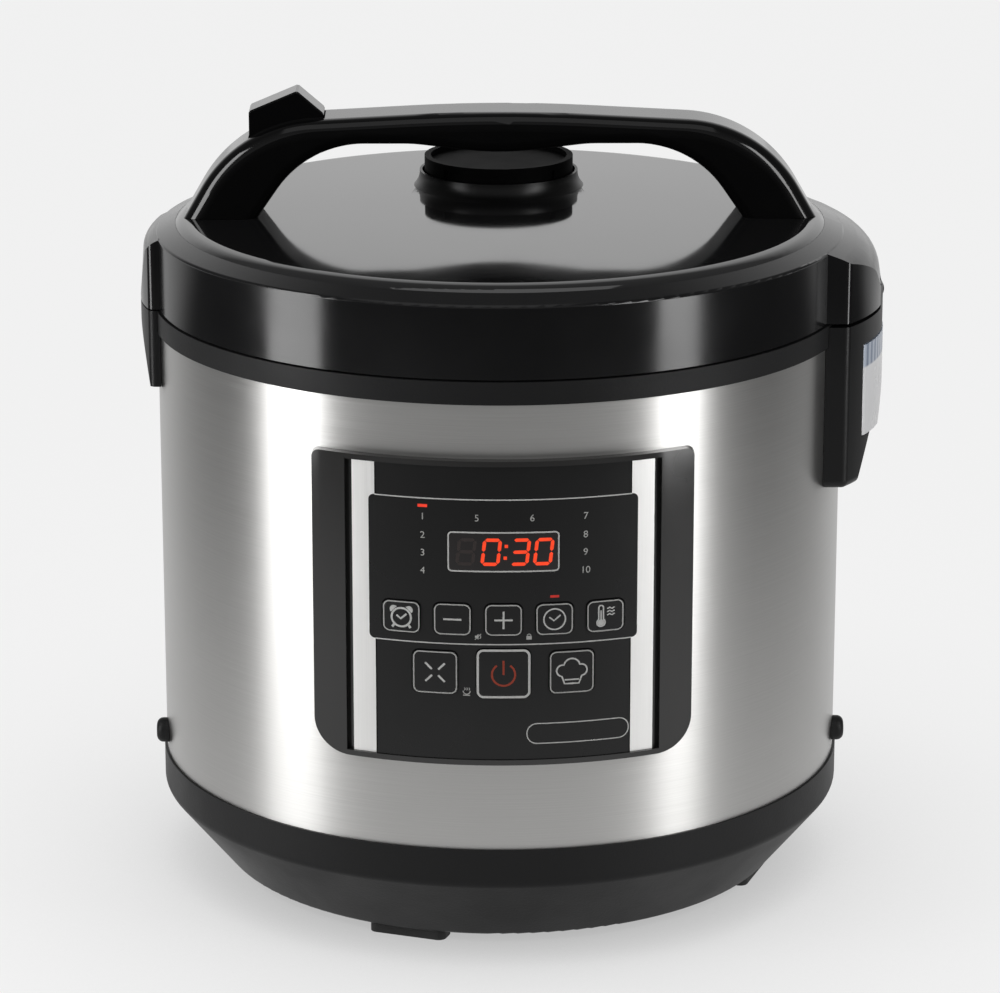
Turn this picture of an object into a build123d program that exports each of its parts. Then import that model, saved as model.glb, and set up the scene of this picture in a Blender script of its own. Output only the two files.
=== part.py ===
from build123d import *
import math
import os

os.makedirs("parts", exist_ok=True)

# Sizes are in millimetres. The origin lies on the cooker's axis, on the surface it stands on.
# The control panel faces -Y, the hinge is at +X and the latch at -X.

# Clearances
seat_gap = 0.1
running_gap = 0.4
lid_gap = 0.6

# Steel sleeve
body_radius = 131.0
sleeve_wall = 0.8
sleeve_bottom = 46.5
sleeve_height = 168.5
sleeve_tuck = 3.0

# Base and feet
foot_height = 4.0
foot_tuck = 1.0
foot_length = 30.0
foot_width = 10.0
foot_corner = 3.0
foot_inset = 7.5
foot_start_angle = -110.0
foot_count = 4
base_wall = 2.6
base_lip = 1.0
base_draw_in = 22.5
crease_drop = 14.0
crease_fillet = 4.0
bottom_fillet = 3.0
vent_count = 16
vent_inset = 5.0
vent_length = 16.0
vent_width = 3.0

# Tie bolts from the base to the heating plate
bolt_count = 3
bolt_inset = 16.0
bolt_start_angle = 90.0
bolt_radius = 2.0
bolt_head_radius = 3.6
bolt_head_height = 2.6
bolt_grip_length = 6.0
boss_radius = 5.5

# Heat shield, heating plate and element
shield_rise = 5.5
shield_wall = 0.8
shield_gap = 3.5
shield_flange = 6.0
shield_hole_radius = 6.0
plate_inset = 24.0
plate_thickness = 9.0
plate_rise = 20.0
plate_edge_chamfer = 3.0
element_inset = 14.0
element_tube_radius = 4.0
element_sweep = 320.0
element_sink_depth = 1.5
terminal_radius = 2.2

# Temperature sensor
sensor_radius = 17.0
sensor_wall = 1.2
sensor_height = 10.5
sensor_rest_gap = 0.3
sensor_spring_radius = 9.0
sensor_spring_wire = 0.7
sensor_spring_turns = 4

# Inner pot
pot_inset = 19.0
pot_wall = 1.6
pot_corner = 16.0
pot_flange = 7.0
pot_drop = 3.0

# Top ring
ring_lip = 1.0
ring_height = 8.4
ring_web = 3.0
ring_skirt = 2.1
ring_skirt_drop = 2.0
pot_side_gap = 1.2
flange_side_gap = 0.8

# Lid band, panel and dome
lid_inset = 0.8
lid_wall = 2.5
lid_band_height = 26.9
lid_bevel_rise = 3.1
lid_bevel_width = 7.7
lid_top_wall = 2.2
lid_ledge = 6.0
dome_rise = 0.8
lid_flat_radius = 8.0
lid_round_width = 5.5
lid_round_drop = 2.4

# Collar in the lid panel, round the steam valve
collar_gap = 0.9
collar_rim_width = 1.0
collar_flare_width = 3.9
collar_flare_sag = 0.9
collar_rise = 6.2
collar_depth = 5.7

# Steam valve and its seat
valve_radius = 29.0
valve_y = 46.0
valve_height = 11.0
valve_wall = 2.0
valve_rim = 2.2
valve_rim_width = 2.4
valve_notch_radius = 1.2
valve_notch_count = 4
stem_radius = 13.6
stem_bore = 10.5
stem_length = 24.0
valve_disc_thickness = 2.0
seat_wall = 3.0
seat_flange = 4.0
seat_flange_height = 2.0

# Lid liner, inner lid and gasket
liner_wall = 2.2
liner_step = 6.4
liner_inset = 13.7
inner_lid_inset = 9.0
inner_lid_wall = 1.0
inner_lid_drop = 3.0
inner_lid_hole_radius = 14.0
gasket_lip = 1.1
gasket_width = 10.9
gasket_nose = 2.0
gasket_rest_gap = 0.5

# Hinge
hinge_offset = 10.5
hinge_rise = 4.0
hinge_half_length = 19.0
lid_knuckle_half = 9.8
knuckle_radius = 5.0
pin_radius = 2.0
pin_clearance = 0.08
window_rise = 6.0
hump_cover = 5.2
hump_crown = 17.0
hump_half_width = 50.0
hump_shoulder_inset = 3.2
hump_shoulder_fillet = 14.0
bulge_wall = 2.2
bulge_step = 0.2
bulge_corner_fillet = 3.0
housing_drop = 63.4
housing_taper_top = 6.7
housing_taper_end = 12.2

# Condensate cup
cup_offset = 2.0
cup_proud = 0.3
cup_crown = 10.1
cup_half_width = 39.5
cup_height = 35.2
cup_taper_height = 17.0
cup_drop = 1.7
cup_taper_in = 3.0
cup_wall = 1.5
cup_corner_fillet = 2.4

# Latch pad, hook and catch
pad_offset = 6.4
pad_crown = 4.8
pad_half_width = 24.5
pad_shoulder_inset = 1.9
pad_shoulder_fillet = 6.0
pad_drop = 29.6
pad_taper_drop = 5.4
pad_taper_in = 4.4
hook_half_width = 7.0
hook_pivot_inset = 6.7
hook_pivot_rise = 12.0
hook_boss_radius = 4.2
hook_arm_length = 21.1
hook_arm_height = 4.0
hook_arm_tip = 2.4
hook_inset = 0.2
hook_thickness = 2.2
hook_drop = 6.4
hook_nose_height = 3.6
hook_nose_length = 1.3
hook_swing_room = 3.9
hook_side_room = 2.0
catch_gap = 0.6
catch_nose_gap = 0.3
catch_thickness = 2.0
catch_length = 5.6
latch_pin_radius = 1.8
latch_lug_width = 3.0

# Handle: distances in from the lid panel's edge and heights above it
handle_depth = 30.0
handle_foot_out = 2.9
handle_foot_drop = 9.0
handle_shoulder_inset = 24.5
handle_shoulder_rise = 38.2
handle_crown_rise = 5.2
handle_shoulder_fillet = 52.0
handle_crown_fillet = 650.0
handle_edge_fillet = 6.4
grip_foot_inset = 23.6
grip_shoulder_inset = 51.3
grip_rise = 30.9
grip_shoulder_fillet = 40.0
grip_edge_fillet = 4.0
belly_half_width = 33.0
belly_drop = 4.0
belly_end_fillet = 60.0
belly_fillet = 120.0
cover_thickness = 3.3
cover_crown_thickness = 3.8
cover_shoulder_width = 2.6
cover_foot_width = 4.3
handle_screw_inset = 19.5
handle_screw_spread = 9.0
handle_screw_radius = 1.7
handle_screw_head_radius = 3.0
handle_screw_head_height = 2.0
handle_screw_rise = 16.0

# Release button: distances in from the handle's shoulder and heights from it
button_left_inset = 4.2
button_apex_inset = 22.5
button_width = 28.3
button_left_rise = 4.4
button_apex_rise = 12.1
button_right_rise = 3.5
button_bottom_drop = 8.2
button_skirt_inset = 21.0
button_skirt_drop = 3.2
button_depth = 15.0
button_travel = 2.5
button_edge = 0.6
spring_inset = 16.5
spring_pocket_radius = 3.4
spring_pocket_depth = 6.0
button_spring_radius = 2.5
button_spring_wire = 0.4
button_spring_turns = 5

# Push link between the button and the hook
link_top_inset = 1.8
link_top_width = 5.0
link_width = 4.7
link_overhang = 0.4
link_bend_rise = 7.0
link_depth = 4.0
link_rest_gap = 0.3

# Control panel
wing_width = 12.0
panel_rise = 34.0
panel_height = 114.5
panel_bottom_corner = 13.0
panel_top_corner = 3.0
panel_rim = 2.0
panel_floor_thickness = 1.6
wing_thickness = 2.0
strip_band_width = 11.2
film_margin = 2.2
film_thickness = 1.4
strip_gap = 0.4
strip_width = 8.2
strip_thickness = 1.2
window_width = 40.4
window_height = 15.3
window_raise = 80.8
window_corner = 1.5
panel_post_inset = 5.8
panel_post_radius = 2.5

# Keys
small_key_width = 13.6
small_key_height = 12.0
small_key_pitch = 18.4
small_key_rise = 55.4
large_key_width = 16.3
large_key_stagger = 6.3
large_key_rise = 35.1
start_key_width = 19.5
start_key_height = 18.6
key_corner = 2.5
key_proud = 0.7
key_skirt = 3.4
key_travel = 0.8
key_side_gap = 0.3
key_stem_width = 4.0

# Boards and display
board_inset = 12.4
board_thickness = 1.6
board_half_width = 44.0
switch_width = 6.0
switch_height = 3.5
display_margin = 1.0
display_front_gap = 1.9
power_board_length = 80.0
power_board_width = 60.0
power_board_standoff = 6.0
standoff_radius = 3.0
standoff_inset = 6.0
relay_width = 18.0
relay_height = 15.0
capacitor_radius = 6.5
capacitor_height = 18.0
transformer_width = 24.0
transformer_height = 20.0

# Appliance inlet at the back
inlet_rise = 23.5
inlet_flange_width = 44.0
inlet_flange_height = 34.0
inlet_flange_corner = 4.0
inlet_flange_thickness = 2.2
inlet_body_width = 34.0
inlet_body_height = 24.0
inlet_wall = 2.5
inlet_depth = 13.5
inlet_pin_length = 8.5
inlet_pin_width = 4.0
inlet_pin_thickness = 2.0
inlet_pin_pitch = 7.0
inlet_pin_raise = 3.0

# Side caps
cap_y = -20.0
cap_rise = 8.0
cap_radius = 4.8
cap_proud = 2.8
cap_dome = 2.5
cap_stem_radius = 3.0
cap_stem_depth = 7.0

# Radii and reaches that follow from the sizes above
base_radius = body_radius + base_lip
base_bottom_radius = body_radius - base_draw_in
foot_ring_radius = base_bottom_radius - foot_inset
ring_radius = body_radius + ring_lip
pot_radius = body_radius - pot_inset
shield_radius = pot_radius + shield_gap
plate_radius = pot_radius - plate_inset
bolt_ring_radius = plate_radius - bolt_inset
element_ring_radius = bolt_ring_radius - element_inset
vent_ring_radius = element_ring_radius - vent_inset
lid_radius = ring_radius - lid_inset
lid_bore = lid_radius - lid_wall
lid_top_radius = lid_radius - lid_bevel_width
liner_step_radius = lid_bore - liner_inset
inner_lid_radius = liner_step_radius - inner_lid_inset
hinge_x = body_radius + hinge_offset
hump_reach = hinge_x + hump_cover
hump_corner = hump_reach - hump_crown
hump_shoulder_radius = hump_reach - hump_shoulder_inset
cup_back = body_radius + cup_offset
cup_reach = hump_reach + cup_proud
cup_corner = cup_reach - cup_crown
pad_reach = body_radius + pad_offset
pad_corner = pad_reach - pad_crown
pad_shoulder_radius = pad_reach - pad_shoulder_inset
hook_outer_x = lid_radius - hook_inset
hook_pivot_x = lid_bore - hook_pivot_inset
hook_arm_end_x = hook_pivot_x - hook_arm_length
slot_half_width = hook_half_width + hook_side_room
panel_floor_radius = body_radius + panel_floor_thickness
wing_radius = panel_floor_radius + wing_thickness
outer_key_x = 2 * small_key_pitch
large_key_pitch = small_key_pitch + large_key_stagger
film_half_width = outer_key_x + small_key_width / 2 + film_margin
panel_recess_half = film_half_width + strip_band_width
panel_half_width = panel_recess_half + wing_width
panel_post_x = film_half_width - panel_post_inset
strip_inner_x = film_half_width + strip_gap
strip_outer_x = strip_inner_x + strip_width
board_distance = body_radius - board_inset
inlet_back = body_radius - inlet_depth
cap_reach = body_radius + cap_proud
cap_stem_end = body_radius - cap_stem_depth

# Heights that follow, from the feet up
base_floor = foot_height + base_wall
crease_height = sleeve_bottom - crease_drop
sleeve_low = sleeve_bottom - sleeve_tuck
sleeve_top = sleeve_bottom + sleeve_height
sleeve_high = sleeve_top + sleeve_tuck
shield_floor = sleeve_bottom + shield_rise
shield_floor_top = shield_floor + shield_wall
plate_top = shield_floor + plate_rise
plate_bottom = plate_top - plate_thickness
cap_z = sleeve_bottom + cap_rise
inlet_z = sleeve_bottom + inlet_rise
panel_bottom = sleeve_bottom + panel_rise
panel_top = panel_bottom + panel_height
window_z = panel_bottom + window_raise
small_key_z = panel_bottom + small_key_rise
large_key_z = panel_bottom + large_key_rise
parting_height = sleeve_top + ring_height
pot_ledge = parting_height - pot_drop
pot_top = pot_ledge + pot_wall
ring_under = pot_ledge - ring_web
hook_bottom = ring_under - hook_drop
housing_bottom = parting_height - housing_drop
cup_top = sleeve_top - cup_drop
cup_bottom = cup_top - cup_height
cup_taper_start = cup_bottom + cup_taper_height
pad_bottom = parting_height - pad_drop
pad_taper_start = parting_height - pad_taper_drop
lid_bottom = parting_height + lid_gap
hinge_z = lid_bottom + hinge_rise
housing_top = hinge_z - knuckle_radius - running_gap
hook_pivot_z = lid_bottom + hook_pivot_rise
band_top = lid_bottom + lid_band_height
lid_edge = band_top + lid_bevel_rise
lid_seat = lid_edge - lid_top_wall
lid_flange_under = lid_seat - lid_wall
lid_round_radius = lid_top_radius - lid_round_width
lid_round_z = lid_edge + lid_round_drop
lid_apex = lid_round_z + dome_rise
dome_radius = (lid_round_radius ** 2 + dome_rise ** 2) / (2 * dome_rise)
dome_end_tangent = (math.sqrt(dome_radius ** 2 - lid_round_radius ** 2), -lid_round_radius)
liner_bottom = lid_bottom + lid_gap
liner_step_z = liner_bottom + liner_step
inner_lid_z = liner_step_z - inner_lid_drop - inner_lid_wall


def dome(radius, raised=0.0):
    """Height of the lid panel's outer face at a distance from the axis."""
    return lid_apex + raised - dome_radius + math.sqrt(dome_radius ** 2 - radius ** 2)


# Collar, valve and handle, which stand on the lid
collar_bore = valve_radius + collar_gap
collar_rim_radius = collar_bore + collar_rim_width
collar_foot_radius = collar_rim_radius + collar_flare_width
collar_foot_z = dome(valve_y + collar_foot_radius) - lid_top_wall / 2
collar_top = dome(valve_y) + collar_rise
collar_floor = collar_top - collar_depth
seat_radius = stem_radius + running_gap + seat_wall
valve_bottom = collar_floor + running_gap
valve_top = valve_bottom + valve_height
valve_axis = Axis((0, valve_y, 0), (0, 0, 1))
handle_foot_x = lid_top_radius + handle_foot_out
handle_foot_z = lid_edge - handle_foot_drop
handle_shoulder_x = lid_top_radius - handle_shoulder_inset
handle_shoulder_z = lid_edge + handle_shoulder_rise
handle_crown_z = handle_shoulder_z + handle_crown_rise
grip_foot_x = lid_top_radius - grip_foot_inset
grip_shoulder_x = lid_top_radius - grip_shoulder_inset
grip_z = lid_edge + grip_rise
belly_z = grip_z - belly_drop
handle_screw_x = lid_top_radius - handle_screw_inset
handle_screw_top = lid_edge + handle_screw_rise
button_left_x = button_left_inset - handle_shoulder_x
button_apex_x = button_apex_inset - handle_shoulder_x
button_right_x = button_left_x + button_width
button_skirt_x = button_skirt_inset - handle_shoulder_x
button_left_z = handle_shoulder_z + button_left_rise
button_apex_z = handle_shoulder_z + button_apex_rise
button_right_z = handle_shoulder_z + button_right_rise
button_bottom_z = handle_shoulder_z - button_bottom_drop
button_skirt_z = handle_shoulder_z - button_skirt_drop
spring_x = spring_inset - handle_shoulder_x
link_top_left_x = button_left_x + link_top_inset
link_top_right_x = link_top_left_x + link_top_width
link_right_x = link_overhang - hook_arm_end_x
link_left_x = link_right_x - link_width
link_bend_z = lid_edge + link_bend_rise


def ring_section(points, radii=None, y=0.0):
    """Closed section across the given y from (radius, height) points, ready to be revolved."""
    with BuildSketch(Plane.XZ.offset(-y)) as section:
        with BuildLine():
            if radii is None:
                Polyline(*points, close=True)
            else:
                FilletPolyline(*points, radius=radii, close=True)
        make_face()
    return section.sketch


def bulge_plan(height, corner, reach, half_width, root, corner_fillet=bulge_corner_fillet):
    """Plan of a bulge on the round body: two flat side walls and a curved outer face."""
    with BuildSketch(Plane.XY.offset(height)) as plan:
        with BuildLine():
            Polyline((corner, half_width), (root, half_width), (root, -half_width), (corner, -half_width))
            ThreePointArc((corner, -half_width), (reach, 0), (corner, half_width))
        make_face()
        outer_corners = plan.vertices().filter_by(lambda v: abs(v.X - corner) < seat_gap)
        fillet(outer_corners, radius=corner_fillet)
    return plan.sketch


def lid_bulge(plan, roof):
    """Solid bulge on the lid band, kept clear of the band's inside and of the lid panel."""
    with BuildPart() as bulge:
        extrude(plan, amount=lid_edge - lid_bottom)
        revolve(roof, axis=Axis.Z, mode=Mode.INTERSECT)
        with BuildSketch(Plane.XY.offset(lid_bottom)):
            Circle(lid_bore)
        extrude(amount=lid_flange_under - lid_bottom, mode=Mode.SUBTRACT)
        with BuildSketch(Plane.XY.offset(lid_bottom)):
            Circle(lid_top_radius + seat_gap)
        extrude(amount=lid_edge - lid_bottom, mode=Mode.SUBTRACT)
    return bulge.part


def lid_bulge_hollow(plan, roof):
    """Space inside a bulge, outside the lid band."""
    with BuildPart() as hollow:
        extrude(plan, amount=lid_edge - lid_bottom)
        revolve(roof, axis=Axis.Z, mode=Mode.INTERSECT)
        with BuildSketch(Plane.XY.offset(lid_bottom)):
            Circle(lid_radius)
        extrude(amount=lid_edge - lid_bottom, mode=Mode.SUBTRACT)
    return hollow.part


def curved_plate(outline, inner_radius, outer_radius, side=1):
    """Plate bent round the cooker's axis, from its outline in the XZ plane; side -1 is the back."""
    with BuildPart() as plate:
        extrude(outline, amount=side * 2 * outer_radius)
        with BuildSketch():
            Circle(outer_radius)
            Circle(inner_radius, mode=Mode.SUBTRACT)
        extrude(amount=parting_height, mode=Mode.INTERSECT)
    return plate.part


def coil(radius, wire, turns, bottom, top, x=0.0):
    """Compression spring on a vertical axis."""
    length = top - bottom - 2 * wire
    with BuildPart() as spring:
        with BuildLine() as path:
            Helix(pitch=length / turns, height=length, radius=radius, center=(x, 0, bottom + wire))
        with BuildSketch(Plane(origin=path.line @ 0, z_dir=path.line % 0)):
            Circle(wire)
        sweep()
    return spring.part


def save(piece, name):
    """Label one finished piece and write it as its own file."""
    piece.part.label = name
    export_step(piece.part, f"parts/{name}.step")


# Base shell: a bowl with a crease, foot pockets, bolt bosses, board standoffs and vents
base_inner_radius = base_bottom_radius - base_wall
base_ledge_radius = body_radius - sleeve_wall - base_wall
with BuildPart() as base_shell:
    base_points = [
        (0, foot_height),
        (base_bottom_radius, foot_height),
        (base_radius, crease_height),
        (base_radius, sleeve_bottom),
        (body_radius + seat_gap, sleeve_bottom),
        (body_radius + seat_gap, sleeve_low),
        (base_ledge_radius, sleeve_low),
        (base_ledge_radius, crease_height),
        (base_inner_radius, base_floor),
        (0, base_floor),
    ]
    base_fillets = [0, bottom_fillet, crease_fillet, 0, 0, 0, 0, 0, 0, 0]
    revolve(ring_section(base_points, base_fillets), axis=Axis.Z)
    with BuildSketch(Plane.XY.offset(base_floor)):
        with PolarLocations(bolt_ring_radius, bolt_count, start_angle=bolt_start_angle):
            Circle(boss_radius)
    extrude(amount=shield_floor - base_floor)
    with BuildSketch(Plane.XY.offset(base_floor)):
        with GridLocations(
            power_board_length - 2 * standoff_inset, power_board_width - 2 * standoff_inset, 2, 2
        ):
            Circle(standoff_radius)
    extrude(amount=power_board_standoff)
    with BuildSketch(Plane.XY.offset(foot_height)):
        with PolarLocations(foot_ring_radius, foot_count, start_angle=foot_start_angle):
            RectangleRounded(foot_width + 2 * seat_gap, foot_length + 2 * seat_gap, foot_corner)
    extrude(amount=foot_tuck, mode=Mode.SUBTRACT)
    with BuildSketch(Plane.XY.offset(foot_height)):
        with PolarLocations(vent_ring_radius, vent_count, start_angle=180 / vent_count):
            SlotOverall(vent_length, vent_width)
    extrude(amount=base_wall, mode=Mode.SUBTRACT)
    with BuildSketch(Plane.XY.offset(foot_height)):
        with PolarLocations(bolt_ring_radius, bolt_count, start_angle=bolt_start_angle):
            Circle(bolt_radius + seat_gap)
    extrude(amount=shield_floor - foot_height, mode=Mode.SUBTRACT)
    with BuildSketch(Plane.XY.offset(foot_height)):
        with PolarLocations(bolt_ring_radius, bolt_count, start_angle=bolt_start_angle):
            Circle(bolt_head_radius + running_gap)
    extrude(amount=bolt_head_height, mode=Mode.SUBTRACT)
save(base_shell, "base_shell")

# Feet: four rounded pads let into the base
with BuildPart() as feet:
    with BuildSketch():
        with PolarLocations(foot_ring_radius, foot_count, start_angle=foot_start_angle):
            RectangleRounded(foot_width, foot_length, foot_corner)
    extrude(amount=foot_height + foot_tuck)
save(feet, "feet")

# Tie bolts: head under the base, thread in the legs of the heating plate
with BuildPart() as tie_bolts:
    with BuildSketch(Plane.XY.offset(foot_height)):
        with PolarLocations(bolt_ring_radius, bolt_count, start_angle=bolt_start_angle):
            Circle(bolt_head_radius)
    extrude(amount=bolt_head_height)
    with BuildSketch(Plane.XY.offset(foot_height)):
        with PolarLocations(bolt_ring_radius, bolt_count, start_angle=bolt_start_angle):
            Circle(bolt_radius)
    extrude(amount=shield_floor_top + bolt_grip_length - foot_height)
save(tie_bolts, "tie_bolts")

# Steel sleeve, with windows for the panel's posts, the hook, the inlet and the cap stems
post_low = large_key_z - large_key_width / 2 + seat_gap
post_high = window_z + window_height / 2 - seat_gap
opening_low = post_low - 2 * panel_post_radius
opening_high = post_high + 2 * panel_post_radius
with BuildPart() as outer_shell:
    with BuildSketch(Plane.XY.offset(sleeve_low)):
        Circle(body_radius)
        Circle(body_radius - sleeve_wall, mode=Mode.SUBTRACT)
    extrude(amount=sleeve_high - sleeve_low)
    with BuildSketch(Plane.XZ):
        with Locations((0, (opening_low + opening_high) / 2)):
            Rectangle(2 * (panel_post_x + 2 * panel_post_radius), opening_high - opening_low)
    extrude(amount=2 * body_radius, mode=Mode.SUBTRACT)
    with BuildSketch(Plane.XZ):
        with Locations((0, inlet_z)):
            Rectangle(inlet_body_width + 2 * running_gap, inlet_body_height + 2 * running_gap)
    extrude(amount=-2 * body_radius, mode=Mode.SUBTRACT)
    with BuildSketch(Plane.YZ):
        with Locations((0, sleeve_high)):
            Rectangle(2 * slot_half_width, 2 * (sleeve_high - hook_bottom + hook_side_room))
    extrude(amount=-2 * body_radius, mode=Mode.SUBTRACT)
    with BuildSketch(Plane.YZ):
        with Locations((cap_y, cap_z)):
            Circle(cap_stem_radius + seat_gap)
    extrude(amount=2 * body_radius, both=True, mode=Mode.SUBTRACT)
save(outer_shell, "outer_shell")

# Side caps: domed plugs, one on each side
with BuildPart() as side_caps:
    with BuildSketch(Plane.YZ.offset(cap_stem_end)):
        with Locations((cap_y, cap_z)):
            Circle(cap_radius)
    extrude(amount=cap_reach - cap_stem_end)
    fillet(side_caps.faces().sort_by(Axis.X)[-1].edges(), radius=cap_dome)
    with BuildSketch(Plane.XY.offset(sleeve_low)):
        Circle(body_radius + seat_gap)
    extrude(amount=sleeve_high - sleeve_low, mode=Mode.SUBTRACT)
    with BuildSketch(Plane.XY.offset(sleeve_low)):
        Circle(base_radius + seat_gap)
    extrude(amount=sleeve_bottom + seat_gap - sleeve_low, mode=Mode.SUBTRACT)
    with BuildSketch(Plane.YZ.offset(cap_stem_end)):
        with Locations((cap_y, cap_z)):
            Circle(cap_stem_radius)
    extrude(amount=(cap_reach - cap_stem_end) / 2 + cap_dome)
    mirror(about=Plane.YZ)
save(side_caps, "side_caps")

# Top ring: closes the sleeve, carries the pot's flange and the latch catch
pot_flange_radius = pot_radius + pot_flange
ring_bore = pot_radius + pot_side_gap
groove_outer = body_radius + seat_gap
groove_inner = body_radius - sleeve_wall - seat_gap
slot_inner_x = hook_outer_x - hook_thickness - hook_nose_length
with BuildPart() as top_ring:
    ring_points = [
        (groove_outer, sleeve_top),
        (groove_outer, sleeve_high),
        (groove_inner, sleeve_high),
        (groove_inner, sleeve_top - ring_skirt_drop),
        (groove_inner - ring_skirt, sleeve_top - ring_skirt_drop),
        (groove_inner - ring_skirt, ring_under),
        (ring_bore, ring_under),
        (ring_bore, pot_ledge),
        (pot_flange_radius + flange_side_gap, pot_ledge),
        (pot_flange_radius + flange_side_gap, parting_height),
        (ring_radius, parting_height),
        (ring_radius, sleeve_top),
    ]
    revolve(ring_section(ring_points), axis=Axis.Z)
    with BuildSketch(Plane.XY.offset(sleeve_top - ring_skirt_drop)):
        with Locations((-(slot_inner_x + ring_radius) / 2, 0)):
            Rectangle(ring_radius - slot_inner_x + 2 * seat_gap, 2 * slot_half_width)
    extrude(amount=ring_height + 2 * ring_skirt_drop, mode=Mode.SUBTRACT)
save(top_ring, "top_ring")

# Heat shield: a sheet pan hung from the top ring
with BuildPart() as heat_shield:
    shield_points = [
        (shield_hole_radius, shield_floor),
        (shield_radius, shield_floor),
        (shield_radius, ring_under - shield_wall),
        (shield_radius + shield_flange, ring_under - shield_wall),
        (shield_radius + shield_flange, ring_under),
        (shield_radius - shield_wall, ring_under),
        (shield_radius - shield_wall, shield_floor_top),
        (shield_hole_radius, shield_floor_top),
    ]
    revolve(ring_section(shield_points), axis=Axis.Z)
    with BuildSketch(Plane.XY.offset(shield_floor)):
        with PolarLocations(bolt_ring_radius, bolt_count, start_angle=bolt_start_angle):
            Circle(bolt_radius + seat_gap)
        with PolarLocations(element_ring_radius, 2, start_angle=0, angular_range=element_sweep, endpoint=True):
            Circle(terminal_radius + running_gap)
    extrude(amount=shield_wall, mode=Mode.SUBTRACT)
save(heat_shield, "heat_shield")

# Heating plate: cast disc on three legs, grooved underneath for the element
element_z = plate_bottom - element_sink_depth
sensor_hole = sensor_radius + running_gap
with BuildPart() as heating_plate:
    plate_points = [
        (sensor_hole, plate_bottom),
        (plate_radius - plate_edge_chamfer, plate_bottom),
        (plate_radius, plate_bottom + plate_edge_chamfer),
        (plate_radius, plate_top),
        (sensor_hole, plate_top),
    ]
    revolve(ring_section(plate_points), axis=Axis.Z)
    with BuildSketch(Plane.XY.offset(shield_floor_top)):
        with PolarLocations(bolt_ring_radius, bolt_count, start_angle=bolt_start_angle):
            Circle(boss_radius)
    extrude(amount=plate_bottom - shield_floor_top)
    with BuildSketch(Plane.XY.offset(shield_floor_top)):
        with PolarLocations(bolt_ring_radius, bolt_count, start_angle=bolt_start_angle):
            Circle(bolt_radius + seat_gap)
    extrude(amount=bolt_grip_length + seat_gap, mode=Mode.SUBTRACT)
    with BuildSketch(Plane.XZ):
        with Locations((element_ring_radius, element_z)):
            Circle(element_tube_radius + seat_gap)
    revolve(axis=Axis.Z, mode=Mode.SUBTRACT)
save(heating_plate, "heating_plate")

# Heating element: an open ring of tube with two terminals that go down through the shield
with BuildPart() as heating_element:
    with BuildSketch(Plane.XZ):
        with Locations((element_ring_radius, element_z)):
            Circle(element_tube_radius)
    revolve(axis=Axis.Z, revolution_arc=element_sweep)
    with BuildSketch(Plane.XY.offset(element_z)):
        with PolarLocations(element_ring_radius, 2, start_angle=0, angular_range=element_sweep, endpoint=True):
            Circle(terminal_radius)
    extrude(amount=-(element_z - shield_floor + bolt_grip_length))
save(heating_element, "heating_element")

# Temperature sensor: a sprung cup that the pot presses down
sensor_top = plate_top - sensor_rest_gap
sensor_spring_top = sensor_top - sensor_wall
with BuildPart() as temperature_sensor:
    sensor_points = [
        (0, sensor_top),
        (sensor_radius, sensor_top),
        (sensor_radius, sensor_top - sensor_height),
        (sensor_radius - sensor_wall, sensor_top - sensor_height),
        (sensor_radius - sensor_wall, sensor_spring_top),
        (0, sensor_spring_top),
    ]
    revolve(ring_section(sensor_points), axis=Axis.Z)
save(temperature_sensor, "temperature_sensor")

with BuildPart() as sensor_spring:
    add(
        coil(
            sensor_spring_radius,
            sensor_spring_wire,
            sensor_spring_turns,
            shield_floor_top + seat_gap,
            sensor_spring_top - seat_gap,
        )
    )
save(sensor_spring, "sensor_spring")

# Inner pot: drawn bowl that hangs by its flange and stands on the heating plate
pot_bottom_inside = plate_top + pot_wall
with BuildPart() as inner_pot:
    pot_points = [
        (0, plate_top),
        (pot_radius, plate_top),
        (pot_radius, pot_ledge),
        (pot_flange_radius, pot_ledge),
        (pot_flange_radius, pot_top),
        (pot_radius - pot_wall, pot_top),
        (pot_radius - pot_wall, pot_bottom_inside),
        (0, pot_bottom_inside),
    ]
    revolve(ring_section(pot_points, [0, pot_corner, 0, 0, 0, 0, pot_corner - pot_wall, 0]), axis=Axis.Z)
save(inner_pot, "inner_pot")


def roof_section(shoulder_radius, reach, shoulder_fillet, drop=0.0):
    """Section of a bulge on the lid: just under the lid's bevel, then over a rounded shoulder."""
    bevel_radius = lid_top_radius + seat_gap
    slope = lid_bevel_rise / (lid_radius - bevel_radius)
    roof_top = lid_edge - bulge_step - drop
    points = [
        (0, lid_bottom - lid_wall),
        (0, roof_top),
        (bevel_radius - drop, roof_top),
        (shoulder_radius - drop, roof_top - slope * (shoulder_radius - bevel_radius)),
        (reach - drop, lid_bottom),
        (reach - drop, lid_bottom - lid_wall),
    ]
    return ring_section(points, [0, 0, 0, shoulder_fillet - drop, 0, 0])


# Lid rim: band with a bevel, the hinge hump with its knuckle, and the upper half of the latch pad
hump_inner_plan = bulge_plan(
    lid_bottom,
    hump_corner - bulge_wall,
    hump_reach - bulge_wall,
    hump_half_width - bulge_wall,
    body_radius / 2,
)
hump_outer_plan = bulge_plan(lid_bottom, hump_corner, hump_reach, hump_half_width, body_radius / 2)
pad_outer_plan = bulge_plan(lid_bottom, -pad_corner, -pad_reach, pad_half_width, -body_radius / 2)
pad_inner_plan = bulge_plan(
    lid_bottom,
    bulge_wall - pad_corner,
    bulge_wall - pad_reach,
    pad_half_width - bulge_wall,
    -body_radius / 2,
)
hump_size = (hump_shoulder_radius, hump_reach, hump_shoulder_fillet)
pad_size = (pad_shoulder_radius, pad_reach, pad_shoulder_fillet)
lug_width = hinge_half_length - lid_knuckle_half - running_gap
lug_middle = hinge_half_length - lug_width / 2
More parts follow.
